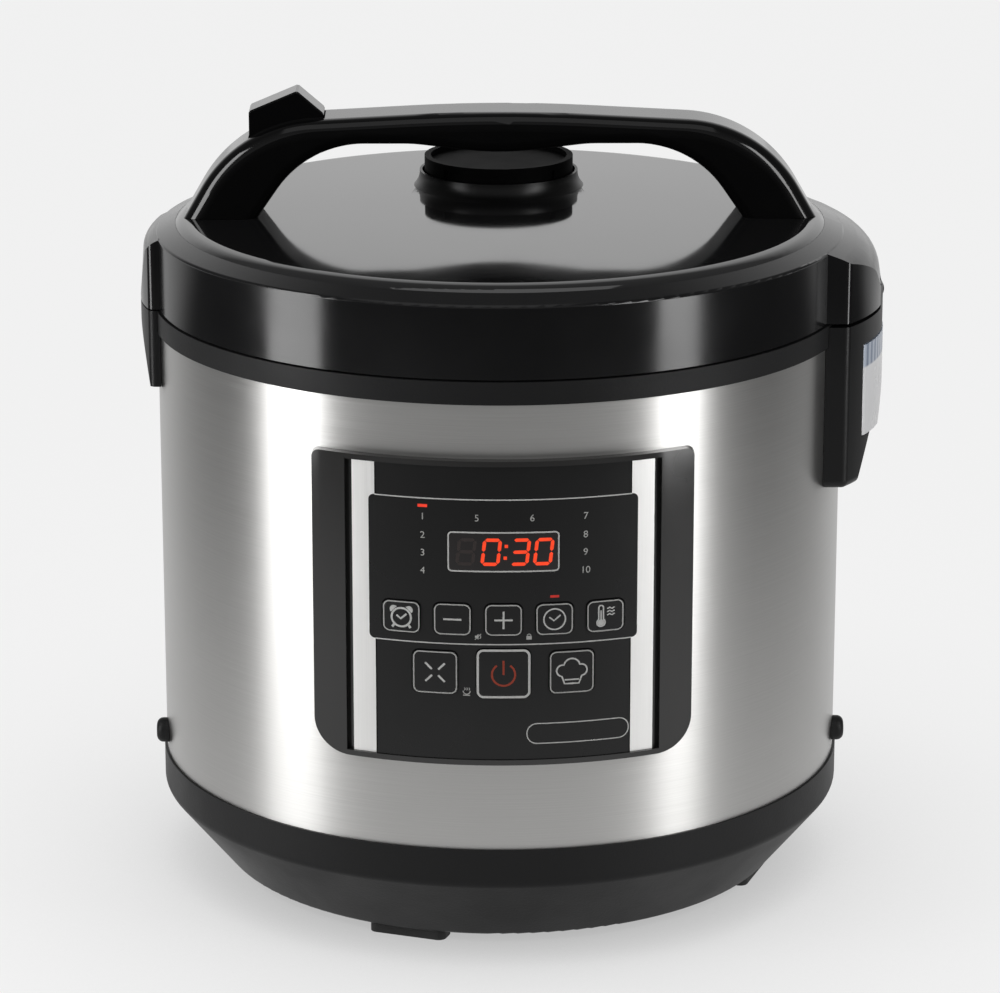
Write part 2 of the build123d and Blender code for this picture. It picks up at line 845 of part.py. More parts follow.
window_left = hinge_x - knuckle_radius - running_gap
window_length = hump_reach - window_left + bulge_wall
with BuildPart() as lid_rim:
    rim_points = [
        (lid_radius, lid_bottom),
        (lid_radius, band_top),
        (lid_top_radius + seat_gap, lid_edge),
        (lid_top_radius + seat_gap, lid_seat),
        (lid_top_radius - lid_ledge, lid_seat),
        (lid_top_radius - lid_ledge, lid_flange_under),
        (lid_bore, lid_flange_under),
        (lid_bore, lid_bottom),
    ]
    revolve(ring_section(rim_points, [0, lid_wall / 2, 0, 0, 0, 0, 0, 0]), axis=Axis.Z)
    add(lid_bulge(hump_outer_plan, roof_section(*hump_size)))
    add(lid_bulge(pad_outer_plan, roof_section(*pad_size)))
    add(lid_bulge_hollow(hump_inner_plan, roof_section(*hump_size, bulge_wall)), mode=Mode.SUBTRACT)
    add(lid_bulge_hollow(pad_inner_plan, roof_section(*pad_size, bulge_wall)), mode=Mode.SUBTRACT)
    # windows for the fixed knuckles, and room below the lid's own knuckle
    with BuildSketch(Plane.XY.offset(lid_bottom - lid_gap)):
        with GridLocations(0, 2 * lug_middle, 1, 2):
            with Locations((window_left + window_length / 2, 0)):
                Rectangle(window_length, lug_width + 2 * running_gap)
    extrude(amount=hinge_z + window_rise - lid_bottom + lid_gap, mode=Mode.SUBTRACT)
    with BuildSketch(Plane.XY.offset(lid_bottom - lid_gap)):
        with Locations((hinge_x + window_length / 2, 0)):
            Rectangle(window_length, 2 * (lid_knuckle_half + running_gap))
    extrude(amount=hinge_z - lid_bottom + lid_gap, mode=Mode.SUBTRACT)
    with BuildSketch(Plane.XZ):
        with Locations((hinge_x, hinge_z)):
            Circle(knuckle_radius)
    extrude(amount=lid_knuckle_half, both=True)
    with BuildSketch(Plane.XZ):
        with Locations((hinge_x, hinge_z)):
            Circle(pin_radius + pin_clearance)
    extrude(amount=hinge_half_length, both=True, mode=Mode.SUBTRACT)
    # opening for the hook, and two lugs for its pin
    with BuildSketch(Plane.XY.offset(lid_bottom)):
        with Locations((-(lid_bore + lid_radius) / 2, 0)):
            Rectangle(2 * lid_wall, 2 * (hook_half_width + running_gap))
    extrude(amount=hook_pivot_z - lid_bottom, mode=Mode.SUBTRACT)
    with BuildSketch(Plane.XZ):
        with BuildLine():
            Polyline(
                (-lid_bore - lid_wall / 2, hook_pivot_z - hook_boss_radius),
                (-hook_pivot_x + hook_boss_radius, hook_pivot_z - hook_boss_radius),
                (-hook_pivot_x + hook_boss_radius, hook_pivot_z + hook_boss_radius),
                (-lid_bore - lid_wall / 2, hook_pivot_z + hook_boss_radius),
                close=True,
            )
        make_face()
        with Locations((-hook_pivot_x, hook_pivot_z)):
            Circle(latch_pin_radius + seat_gap / 2, mode=Mode.SUBTRACT)
    lug_span = hook_half_width + running_gap + latch_lug_width
    latch_lugs = extrude(amount=lug_span, both=True, mode=Mode.PRIVATE)
    with BuildSketch(Plane.XZ):
        with Locations((-hook_pivot_x, hook_pivot_z)):
            Rectangle(4 * hook_boss_radius + lid_wall, 4 * hook_boss_radius)
    lug_gap = extrude(amount=hook_half_width + running_gap, both=True, mode=Mode.PRIVATE)
    add(latch_lugs - lug_gap)
save(lid_rim, "lid_rim")

# Hinge housing: fixed half of the hinge, with two knuckles and the pocket for the cup
pocket_top = cup_top + running_gap
pocket_bottom = cup_bottom - running_gap
with BuildPart() as knuckle_form:
    with BuildSketch(Plane.XZ):
        with Locations((hinge_x, hinge_z)):
            Circle(knuckle_radius)
        with Locations((hinge_x, (hinge_z + housing_top) / 2 - running_gap)):
            Rectangle(2 * knuckle_radius, hinge_z - housing_top + 2 * running_gap)
    extrude(amount=hinge_half_length, both=True)
    with BuildSketch(Plane.XZ):
        with Locations((hinge_x, hinge_z)):
            Rectangle(4 * knuckle_radius, 4 * knuckle_radius)
    extrude(amount=lid_knuckle_half + running_gap, both=True, mode=Mode.SUBTRACT)
    extrude(
        bulge_plan(housing_top - knuckle_radius, hump_corner, hump_reach, hump_half_width, body_radius / 2),
        amount=4 * knuckle_radius,
        mode=Mode.INTERSECT,
    )
with BuildPart() as hinge_housing:
    extrude(
        bulge_plan(housing_bottom, hump_corner, hump_reach, hump_half_width, body_radius / 2),
        amount=housing_top - housing_bottom,
    )
    with BuildSketch(Plane.XZ):
        with BuildLine():
            Polyline(
                (hump_reach - housing_taper_top, pocket_bottom),
                (hump_reach - housing_taper_end, housing_bottom),
                (2 * hump_reach, housing_bottom),
                (2 * hump_reach, pocket_bottom),
                close=True,
            )
        make_face()
    extrude(amount=hump_half_width, both=True, mode=Mode.SUBTRACT)
    fillet(hinge_housing.faces().sort_by(Axis.Z)[0].edges(), radius=bulge_corner_fillet)
    with BuildSketch(Plane.XY.offset(housing_bottom)):
        Circle(body_radius + seat_gap)
    extrude(amount=housing_top - housing_bottom, mode=Mode.SUBTRACT)
    with BuildSketch(Plane.XY.offset(sleeve_top - seat_gap)):
        Circle(ring_radius + seat_gap)
    extrude(amount=ring_height, mode=Mode.SUBTRACT)
    with BuildSketch(Plane.XY.offset(pocket_bottom)):
        with Locations((cup_back - running_gap + hump_reach / 2, 0)):
            Rectangle(hump_reach, 2 * (cup_half_width + running_gap))
    extrude(amount=pocket_top - pocket_bottom, mode=Mode.SUBTRACT)
    add(knuckle_form.part)
    with BuildSketch(Plane.XZ):
        with Locations((hinge_x, hinge_z)):
            Circle(pin_radius)
    extrude(amount=hinge_half_length, both=True, mode=Mode.SUBTRACT)
save(hinge_housing, "hinge_housing")

# Hinge pin: pressed into the fixed knuckles
with BuildPart() as hinge_pin:
    with BuildSketch(Plane.XZ):
        with Locations((hinge_x, hinge_z)):
            Circle(pin_radius)
    extrude(amount=hinge_half_length - seat_gap, both=True)
save(hinge_pin, "hinge_pin")

def cup_form(inset):
    """Outer form of the cup, or the space in it when inset by its wall; open towards the top."""
    with BuildPart() as form:
        extrude(
            bulge_plan(
                cup_bottom + inset,
                cup_corner - inset,
                cup_reach - inset,
                cup_half_width - inset,
                cup_back + inset,
                cup_corner_fillet - inset,
            ),
            amount=cup_top - cup_bottom,
        )
        with BuildSketch(Plane.XZ):
            with BuildLine():
                Polyline(
                    (cup_reach - inset, cup_taper_start),
                    (cup_reach - cup_taper_in - inset, cup_bottom),
                    (2 * cup_reach, cup_bottom),
                    (2 * cup_reach, cup_taper_start),
                    close=True,
                )
            make_face()
        extrude(amount=cup_half_width, both=True, mode=Mode.SUBTRACT)
    return form.part


# Condensate cup: clear, open at the top, narrower at the bottom
with BuildPart() as condensate_cup:
    add(cup_form(0))
    add(cup_form(cup_wall), mode=Mode.SUBTRACT)
save(condensate_cup, "condensate_cup")

# Latch housing: fixed half of the latch pad, hollow for the hook
with BuildPart() as latch_housing:
    extrude(
        bulge_plan(pad_bottom, -pad_corner, -pad_reach, pad_half_width, -body_radius / 2),
        amount=parting_height - pad_bottom,
    )
    with BuildSketch(Plane.XZ):
        with BuildLine():
            Polyline(
                (-pad_reach, pad_taper_start),
                (pad_taper_in - pad_reach, pad_bottom),
                (-2 * pad_reach, pad_bottom),
                (-2 * pad_reach, pad_taper_start),
                close=True,
            )
        make_face()
    extrude(amount=pad_half_width, both=True, mode=Mode.SUBTRACT)
    with BuildSketch(Plane.XY.offset(pad_bottom)):
        Circle(body_radius + seat_gap)
    extrude(amount=parting_height - pad_bottom, mode=Mode.SUBTRACT)
    with BuildSketch(Plane.XY.offset(sleeve_top - seat_gap)):
        Circle(ring_radius + seat_gap)
    extrude(amount=ring_height + seat_gap, mode=Mode.SUBTRACT)
    with BuildSketch(Plane.XY.offset(hook_bottom - 2 * running_gap)):
        with Locations((-(hook_outer_x + hook_swing_room) / 2, 0)):
            Rectangle(hook_outer_x + hook_swing_room, 2 * slot_half_width)
    extrude(amount=parting_height, mode=Mode.SUBTRACT)
save(latch_housing, "latch_housing")

# Latch catch: steel strip under the top ring, whose edge the hook's nose reaches under
catch_edge_x = slot_inner_x - catch_nose_gap
with BuildPart() as latch_catch:
    with BuildSketch(Plane.XY.offset(ring_under - catch_thickness)):
        with Locations((-(catch_edge_x - catch_length / 2), 0)):
            Rectangle(catch_length, 2 * slot_half_width)
    extrude(amount=catch_thickness)
save(latch_catch, "latch_catch")

# Latch hook: bell crank on a pin, worked by the push link and reaching down to the catch
nose_top = ring_under - catch_thickness - catch_gap
link_bottom = hook_pivot_z + hook_arm_height + link_rest_gap
hook_inner_x = hook_outer_x - hook_thickness
with BuildPart() as latch_hook:
    with BuildSketch(Plane.XZ):
        with BuildLine():
            Polyline(
                (-hook_arm_end_x, hook_pivot_z + hook_arm_height),
                (-hook_pivot_x, hook_pivot_z + hook_arm_height),
                (-hook_outer_x, hook_pivot_z - hook_arm_height),
                (-hook_outer_x, hook_bottom),
                (-hook_inner_x, hook_bottom),
                (-slot_inner_x, hook_bottom + hook_nose_height / 2),
                (-slot_inner_x, nose_top),
                (-hook_inner_x, nose_top),
                (-hook_inner_x, hook_pivot_z - 2 * hook_arm_height),
                (-hook_pivot_x, hook_pivot_z),
                (-hook_arm_end_x, hook_pivot_z + hook_arm_height - hook_arm_tip),
                close=True,
            )
        make_face()
        with Locations((-hook_pivot_x, hook_pivot_z)):
            Circle(hook_boss_radius)
            Circle(latch_pin_radius + pin_clearance, mode=Mode.SUBTRACT)
    extrude(amount=hook_half_width, both=True)
save(latch_hook, "latch_hook")

with BuildPart() as latch_pin:
    with BuildSketch(Plane.XZ):
        with Locations((-hook_pivot_x, hook_pivot_z)):
            Circle(latch_pin_radius)
    extrude(amount=hook_half_width + running_gap + latch_lug_width, both=True)
save(latch_pin, "latch_pin")

# Handle sections: the whole arch seen from the front, and its core under the cover
handle_outer = ring_section(
    [
        (-handle_foot_x, handle_foot_z),
        (-handle_shoulder_x, handle_shoulder_z),
        (0, handle_crown_z),
        (handle_shoulder_x, handle_shoulder_z),
        (handle_foot_x, handle_foot_z),
    ],
    [0, handle_shoulder_fillet, handle_crown_fillet, handle_shoulder_fillet, 0],
)
handle_inner = ring_section(
    [
        (-grip_foot_x, handle_foot_z),
        (-grip_shoulder_x, grip_z),
        (-belly_half_width, grip_z),
        (0, belly_z),
        (belly_half_width, grip_z),
        (grip_shoulder_x, grip_z),
        (grip_foot_x, handle_foot_z),
    ],
    [0, grip_shoulder_fillet, belly_end_fillet, belly_fillet, belly_end_fillet, grip_shoulder_fillet, 0],
)
handle_core = ring_section(
    [
        (cover_foot_width - handle_foot_x, handle_foot_z),
        (cover_shoulder_width - handle_shoulder_x, handle_shoulder_z - cover_thickness),
        (0, handle_crown_z - cover_crown_thickness),
        (handle_shoulder_x - cover_shoulder_width, handle_shoulder_z - cover_thickness),
        (handle_foot_x - cover_foot_width, handle_foot_z),
    ],
    [0, handle_shoulder_fillet, handle_crown_fillet, handle_shoulder_fillet, 0],
)
with BuildSketch(Plane.XZ) as button_well:
    well_drop = button_travel + running_gap
    with BuildLine():
        Polyline(
            (button_left_x - running_gap, 2 * button_apex_z),
            (button_left_x - running_gap, button_bottom_z - well_drop),
            (button_skirt_x, button_bottom_z - well_drop),
            (button_right_x + running_gap, button_skirt_z - well_drop),
            (button_right_x + running_gap, 2 * button_apex_z),
            close=True,
        )
    make_face()
link_points = [
    (link_top_left_x, button_bottom_z - seat_gap),
    (link_left_x, link_bend_z),
    (link_left_x, link_bottom),
    (link_right_x, link_bottom),
    (link_right_x, link_bend_z),
    (link_top_right_x, button_bottom_z - seat_gap),
]
link_section = ring_section(link_points)
lowered_link = ring_section([(x, z - button_travel) for x, z in link_points])
with BuildSketch(Plane.XZ) as link_channel:
    add(link_section)
    add(lowered_link)
    offset(amount=running_gap, kind=Kind.INTERSECTION)
with BuildSketch(Plane.XZ) as dome_section:
    with BuildLine():
        Polyline(
            (0, lid_apex + seat_gap),
            (0, lid_bottom),
            (handle_foot_x + handle_depth, lid_bottom),
            (handle_foot_x + handle_depth, lid_edge + seat_gap),
            (lid_top_radius, lid_edge + seat_gap),
        )
        TangentArc(
            (lid_round_radius, lid_round_z + seat_gap),
            (lid_top_radius, lid_edge + seat_gap),
            tangent=dome_end_tangent,
        )
        ThreePointArc(
            (lid_round_radius, lid_round_z + seat_gap),
            (lid_round_radius / 2, dome(lid_round_radius / 2, seat_gap)),
            (0, lid_apex + seat_gap),
        )
    make_face()
half_depth = handle_depth / 2


def is_skin(face, outward):
    """True for a face of the arch that runs along it and looks outward (1) or inward (-1)."""
    normal = face.normal_at()
    reach = face.center() - Vector(0, face.center().Y, handle_foot_z)
    return abs(normal.Y) < 0.5 and outward * normal.dot(reach) > 0 and abs(normal.Z + 1) > 0.01


def on_side(edge):
    """True for an edge that lies in the handle's front or back face."""
    return abs(abs(edge.center().Y) - half_depth) < seat_gap


# Handle form: the whole rounded handle, which a seam parts into arch and cover
with BuildPart() as handle_form:
    extrude(handle_outer, amount=half_depth, both=True)
    extrude(handle_inner, amount=handle_depth, both=True, mode=Mode.SUBTRACT)
    skin_faces = handle_form.faces().filter_by(lambda face: is_skin(face, 1))
    fillet(skin_faces.edges().filter_by(on_side), radius=handle_edge_fillet)
    grip_faces = handle_form.faces().filter_by(lambda face: is_skin(face, -1))
    fillet(grip_faces.edges().filter_by(on_side), radius=grip_edge_fillet)
    revolve(dome_section.sketch, axis=Axis.Z, mode=Mode.SUBTRACT)

# Handle arch: the grip and its legs, hollowed for the button, the link and the screws
with BuildPart() as handle_arch:
    add(handle_form.part)
    extrude(handle_core, amount=handle_depth, both=True, mode=Mode.INTERSECT)
    extrude(button_well.sketch, amount=button_depth / 2 + running_gap, both=True, mode=Mode.SUBTRACT)
    extrude(link_channel.sketch, amount=link_depth / 2 + running_gap, both=True, mode=Mode.SUBTRACT)
    with BuildSketch(Plane.XY.offset(handle_foot_z)):
        with GridLocations(2 * handle_screw_x, 2 * handle_screw_spread, 2, 2):
            Circle(handle_screw_radius + seat_gap / 2)
    extrude(amount=handle_screw_top + seat_gap - handle_foot_z, mode=Mode.SUBTRACT)
save(handle_arch, "handle_arch")

# Handle cover: thin outer shell along the top of the arch
with BuildPart() as handle_cover:
    add(handle_form.part)
    extrude(handle_core, amount=handle_depth, both=True, mode=Mode.SUBTRACT)
    extrude(button_well.sketch, amount=button_depth / 2 + running_gap, both=True, mode=Mode.SUBTRACT)
save(handle_cover, "handle_cover")

# Handle screws: from inside the lid up into the legs
screw_reach = math.hypot(handle_screw_x, handle_screw_spread) + handle_screw_head_radius
screw_seat = dome(screw_reach) - lid_top_wall - seat_gap
with BuildPart() as handle_screws:
    with BuildSketch(Plane.XY.offset(screw_seat - handle_screw_head_height)):
        with GridLocations(2 * handle_screw_x, 2 * handle_screw_spread, 2, 2):
            Circle(handle_screw_head_radius)
    extrude(amount=handle_screw_head_height)
    with BuildSketch(Plane.XY.offset(screw_seat)):
        with GridLocations(2 * handle_screw_x, 2 * handle_screw_spread, 2, 2):
            Circle(handle_screw_radius)
    extrude(amount=handle_screw_top - screw_seat)
save(handle_screws, "handle_screws")

# Release button: wedge in the handle, with a pocket for its spring
with BuildPart() as release_button:
    with BuildSketch(Plane.XZ):
        with BuildLine():
            Polyline(
                (button_left_x, button_bottom_z),
                (button_left_x, button_left_z),
                (button_apex_x, button_apex_z),
                (button_right_x, button_right_z),
                (button_right_x, button_skirt_z),
                (button_skirt_x, button_bottom_z),
                close=True,
            )
        make_face()
    extrude(amount=button_depth / 2, both=True)
    top_edges = release_button.edges().filter_by_position(Axis.Z, button_right_z - seat_gap, button_apex_z)
    chamfer(top_edges, length=button_edge)
    with BuildSketch(Plane.XY.offset(button_bottom_z)):
        with Locations((spring_x, 0)):
            Circle(spring_pocket_radius)
    extrude(amount=spring_pocket_depth, mode=Mode.SUBTRACT)
save(release_button, "release_button")

# Push link: bent bar in the left leg, from the button down to the hook's arm
with BuildPart() as push_link:
    extrude(link_section, amount=link_depth / 2, both=True)
save(push_link, "push_link")

with BuildPart() as button_spring:
    add(
        coil(
            button_spring_radius,
            button_spring_wire,
            button_spring_turns,
            button_bottom_z - button_travel - running_gap + seat_gap,
            button_bottom_z + spring_pocket_depth - seat_gap,
            spring_x,
        )
    )
save(button_spring, "button_spring")

# Lid panel: shallow dome with a flared collar and a floor for the valve behind the handle
collar_under = collar_foot_z - lid_top_wall
flare_middle = (
    (collar_rim_radius + collar_foot_radius) / 2 - collar_flare_sag,
    (collar_top + collar_foot_z) / 2 - collar_flare_sag,
)
with BuildSketch(Plane.XZ.offset(-valve_y)) as collar_section:
    with BuildLine():
        ThreePointArc((collar_foot_radius, collar_foot_z), flare_middle, (collar_rim_radius, collar_top))
        Polyline(
            (collar_rim_radius, collar_top),
            (collar_bore, collar_top),
            (collar_bore, collar_floor),
            (seat_radius + seat_gap, collar_floor),
            (seat_radius + seat_gap, collar_under),
            (collar_foot_radius, collar_under),
            (collar_foot_radius, collar_foot_z),
        )
    make_face()
with BuildPart() as lid_top:
    with BuildSketch(Plane.XZ):
        with BuildLine():
            Line((0, dome(lid_flat_radius)), (lid_flat_radius, dome(lid_flat_radius)))
            ThreePointArc(
                (lid_flat_radius, dome(lid_flat_radius)),
                (lid_round_radius / 2, dome(lid_round_radius / 2)),
                (lid_round_radius, lid_round_z),
            )
            TangentArc((lid_round_radius, lid_round_z), (lid_top_radius, lid_edge), tangent=dome_end_tangent)
            Polyline(
                (lid_top_radius, lid_edge),
                (lid_top_radius, lid_seat),
                (lid_round_radius, lid_seat),
                (lid_round_radius, lid_round_z - lid_top_wall),
            )
            ThreePointArc(
                (lid_round_radius, lid_round_z - lid_top_wall),
                (lid_round_radius / 2, dome(lid_round_radius / 2, -lid_top_wall)),
                (lid_flat_radius, dome(lid_flat_radius, -lid_top_wall)),
            )
            Polyline(
                (lid_flat_radius, dome(lid_flat_radius, -lid_top_wall)),
                (0, dome(lid_flat_radius, -lid_top_wall)),
                (0, dome(lid_flat_radius)),
            )
        make_face()
    revolve(axis=Axis.Z)
    with BuildSketch(Plane.XY.offset(lid_bottom)):
        with Locations((0, valve_y)):
            Circle(collar_bore + collar_rim_width / 2)
    extrude(amount=collar_top - lid_bottom, mode=Mode.SUBTRACT)
    revolve(collar_section.sketch, axis=valve_axis)
    with BuildSketch(Plane.XY.offset(lid_bottom)):
        with GridLocations(2 * handle_screw_x, 2 * handle_screw_spread, 2, 2):
            Circle(handle_screw_radius + running_gap)
        with Locations(((link_left_x + link_right_x) / 2, 0)):
            Rectangle(link_right_x - link_left_x + 2 * running_gap, link_depth + 2 * running_gap)
    extrude(amount=lid_apex - lid_bottom, mode=Mode.SUBTRACT)
save(lid_top, "lid_top")

# Valve seat: bush through the lid, with a flange under the lid panel
with BuildPart() as valve_seat:
    seat_points = [
        (stem_radius + running_gap, inner_lid_z + inner_lid_wall + seat_gap),
        (seat_radius, inner_lid_z + inner_lid_wall + seat_gap),
        (seat_radius, collar_under - seat_flange_height),
        (seat_radius + seat_flange, collar_under - seat_flange_height),
        (seat_radius + seat_flange, collar_under),
        (seat_radius, collar_under),
        (seat_radius, collar_floor),
        (stem_radius + running_gap, collar_floor),
    ]
    revolve(ring_section(seat_points, y=valve_y), axis=valve_axis)
save(valve_seat, "valve_seat")

# Steam valve: cap with a raised rim and grip notches, on a disc with a hollow stem
valve_floor = valve_top - valve_rim
disc_top = valve_bottom + valve_disc_thickness
with BuildPart() as steam_valve_cap:
    cap_points = [
        (0, valve_floor),
        (valve_radius - valve_rim_width, valve_floor),
        (valve_radius - valve_rim_width, valve_top),
        (valve_radius, valve_top),
        (valve_radius, valve_bottom),
        (valve_radius - valve_wall, valve_bottom),
        (valve_radius - valve_wall, valve_floor - valve_wall),
        (0, valve_floor - valve_wall),
    ]
    revolve(ring_section(cap_points, y=valve_y), axis=valve_axis)
    with BuildSketch(Plane.XY.offset(valve_bottom)):
        with Locations((0, valve_y)):
            with PolarLocations(valve_radius, valve_notch_count, start_angle=180 / valve_notch_count):
                Circle(valve_notch_radius)
    extrude(amount=valve_height - valve_rim, mode=Mode.SUBTRACT)
save(steam_valve_cap, "steam_valve_cap")

with BuildPart() as steam_valve_base:
    stem_points = [
        (stem_bore, valve_bottom - stem_length),
        (stem_radius, valve_bottom - stem_length),
        (stem_radius, valve_bottom),
        (valve_radius - valve_wall - seat_gap, valve_bottom),
        (valve_radius - valve_wall - seat_gap, disc_top),
        (stem_bore, disc_top),
    ]
    revolve(ring_section(stem_points, y=valve_y), axis=valve_axis)
save(steam_valve_base, "steam_valve_base")

# Lid liner: inner shell of the lid, stepped up for the inner lid and open for the hook
liner_radius = lid_bore - seat_gap
with BuildPart() as lid_liner:
    liner_points = [
        (0, liner_step_z),
        (liner_step_radius, liner_step_z),
        (liner_step_radius, liner_bottom),
        (liner_radius, liner_bottom),
        (liner_radius, liner_bottom + liner_wall),
        (liner_step_radius + liner_wall, liner_bottom + liner_wall),
        (liner_step_radius + liner_wall, liner_step_z + liner_wall),
        (0, liner_step_z + liner_wall),
    ]
    revolve(ring_section(liner_points), axis=Axis.Z)
    with BuildSketch(Plane.XY.offset(liner_step_z)):
        with Locations((0, valve_y)):
            Circle(seat_radius + seat_gap)
    extrude(amount=liner_wall, mode=Mode.SUBTRACT)
    with BuildSketch(Plane.XY.offset(liner_bottom)):
        with Locations((-(hook_pivot_x + liner_radius) / 2, 0)):
            Rectangle(liner_radius - hook_pivot_x + 2 * running_gap, 2 * (hook_half_width + running_gap))
    extrude(amount=liner_wall, mode=Mode.SUBTRACT)
save(lid_liner, "lid_liner")

# Inner lid: removable aluminium disc
with BuildPart() as inner_lid:
    with BuildSketch(Plane.XY.offset(inner_lid_z)):
        Circle(inner_lid_radius)
        with Locations((0, valve_y)):
            Circle(inner_lid_hole_radius, mode=Mode.SUBTRACT)
    extrude(amount=inner_lid_wall)
save(inner_lid, "inner_lid")

# Lid gasket: grips the edge of the inner lid and meets the pot's flange
gasket_outer = inner_lid_radius - 2 * gasket_lip + gasket_width
gasket_inner = inner_lid_radius - 2 * gasket_lip
gasket_bottom = pot_top + gasket_rest_gap
with BuildPart() as lid_gasket:
    gasket_points = [
        (gasket_inner, inner_lid_z - gasket_lip),
        (gasket_outer - 2 * gasket_nose, inner_lid_z - gasket_lip),
        (gasket_outer - gasket_nose, gasket_bottom),
        (gasket_outer, gasket_bottom),
        (gasket_outer, liner_step_z - seat_gap),
        (gasket_inner, liner_step_z - seat_gap),
        (gasket_inner, inner_lid_z + inner_lid_wall + seat_gap),
        (inner_lid_radius + seat_gap, inner_lid_z + inner_lid_wall + seat_gap),
        (inner_lid_radius + seat_gap, inner_lid_z - seat_gap),
        (gasket_inner, inner_lid_z - seat_gap),
    ]
    revolve(ring_section(gasket_points), axis=Axis.Z)
save(lid_gasket, "lid_gasket")

# Keys: place and size of each
key_sizes = {}
small_names = ["delay", "minus", "plus", "time", "temperature"]
for index, name in enumerate(small_names):
    key_x = (index - (len(small_names) - 1) / 2) * small_key_pitch
    key_sizes[name] = (key_x, small_key_z, small_key_width, small_key_height)
key_sizes["cancel"] = (-large_key_pitch, large_key_z, large_key_width, large_key_width)
key_sizes["start"] = (0.0, large_key_z, start_key_width, start_key_height)
key_sizes["menu"] = (large_key_pitch, large_key_z, large_key_width, large_key_width)


def key_outlines(margin):
    """Outlines of all keys, seen from the front, grown by a margin on every side."""
    with BuildSketch(Plane.XZ) as outlines:
        for x, z, width, height in key_sizes.values():
            with Locations((x, z)):
                RectangleRounded(width + 2 * margin, height + 2 * margin, key_corner + margin)
    return outlines.sketch


def window_outline(margin):
    """Outline of the display window, seen from the front, grown by a margin on every side."""
    with BuildSketch(Plane.XZ) as outline:
        with Locations((0, window_z)):
            RectangleRounded(window_width + 2 * margin, window_height + 2 * margin, window_corner + margin)
    return outline.sketch


# Control panel frame: curved plate with raised wings, holes for the keys and posts for the board
panel_middle = (panel_bottom + panel_top) / 2
recess_height = panel_top - panel_bottom - 2 * panel_rim
with BuildSketch(Plane.XZ) as panel_outline:
    with BuildLine():
        FilletPolyline(
            (-panel_half_width, panel_bottom),
            (panel_half_width, panel_bottom),
            (panel_half_width, panel_top),
            (-panel_half_width, panel_top),
            radius=[panel_bottom_corner, panel_bottom_corner, panel_top_corner, panel_top_corner],
            close=True,
        )
    make_face()
with BuildSketch(Plane.XZ) as panel_back:
    add(panel_outline.sketch)
    add(key_outlines(key_side_gap), mode=Mode.SUBTRACT)
    add(window_outline(seat_gap), mode=Mode.SUBTRACT)
with BuildSketch(Plane.XZ) as panel_wings:
    add(panel_outline.sketch)
    with Locations((0, panel_middle)):
        Rectangle(2 * panel_recess_half, recess_height, mode=Mode.SUBTRACT)
with BuildPart() as panel_frame:
    add(curved_plate(panel_back.sketch, body_radius + seat_gap, panel_floor_radius))
    add(curved_plate(panel_wings.sketch, panel_floor_radius, wing_radius))
    with BuildSketch(Plane.XZ.offset(board_distance)):
        with Locations((0, (post_low + post_high) / 2)):
            with GridLocations(2 * panel_post_x, post_high - post_low, 2, 2):
                Circle(panel_post_radius)
    extrude(amount=math.sqrt(body_radius ** 2 - panel_post_x ** 2) + sleeve_wall - board_distance)
save(panel_frame, "panel_frame")

# Panel film: thin front sheet between the trim strips
with BuildSketch(Plane.XZ) as film_outline:
    with Locations((0, panel_middle)):
        Rectangle(2 * film_half_width, recess_height - 2 * seat_gap)
    add(key_outlines(key_side_gap), mode=Mode.SUBTRACT)
    add(window_outline(seat_gap), mode=Mode.SUBTRACT)
with BuildPart() as panel_film:
    add(curved_plate(film_outline.sketch, panel_floor_radius, panel_floor_radius + film_thickness))
save(panel_film, "panel_film")

# Trim strips: one bright strip on each side of the film
with BuildSketch(Plane.XZ) as strip_outline:
    with Locations((0, panel_middle)):
        with GridLocations(strip_inner_x + strip_outer_x, 0, 2, 1):
            Rectangle(strip_outer_x - strip_inner_x, recess_height - 2 * seat_gap)
with BuildPart() as trim_strips:
    add(curved_plate(strip_outline.sketch, panel_floor_radius, panel_floor_radius + strip_thickness))
save(trim_strips, "trim_strips")

# Display window and the display behind it
with BuildPart() as display_window:
    add(curved_plate(window_outline(0), panel_floor_radius, panel_floor_radius + film_thickness + seat_gap))
save(display_window, "display_window")

with BuildPart() as display_module:
    with BuildSketch(Plane.XZ.offset(board_distance)):
        with Locations((0, window_z)):
            Rectangle(window_width - 2 * display_margin, window_height - 2 * display_margin)
    extrude(amount=panel_floor_radius - display_front_gap - board_distance)
save(display_module, "display_module")

# Control board on the panel's posts, and its switches
board_low = post_low - panel_post_radius - seat_gap
board_high = post_high + panel_post_radius + seat_gap
with BuildPart() as control_board:
    with BuildSketch(Plane.XZ.offset(board_distance)):
        with Locations((0, (board_low + board_high) / 2)):
            Rectangle(2 * board_half_width, board_high - board_low)
    extrude(amount=-board_thickness)
save(control_board, "control_board")

with BuildPart() as tact_switches:
    with BuildSketch(Plane.XZ.offset(board_distance)):
        for x, z, width, height in key_sizes.values():
            with Locations((x, z)):
                Rectangle(switch_width, switch_width)
    extrude(amount=switch_height)
save(tact_switches, "tact_switches")

# Keys: a cap in the film and a stem that reaches the switch
key_front = panel_floor_radius + film_thickness + key_proud
key_back = key_front - key_skirt
stem_end = board_distance + switch_height + key_travel + seat_gap
for name, (x, z, width, height) in key_sizes.items():
    with BuildSketch(Plane.XZ) as key_outline:
        with Locations((x, z)):
            RectangleRounded(width, height, key_corner)
    with BuildPart() as key:
        add(curved_plate(key_outline.sketch, key_back, key_front))
        with BuildSketch(Plane.XZ.offset(stem_end)):
            with Locations((x, z)):
                Rectangle(key_stem_width, key_stem_width)
        extrude(amount=math.sqrt(key_back ** 2 - (abs(x) - key_stem_width / 2) ** 2) + sleeve_wall - stem_end)
    save(key, f"key_{name}")

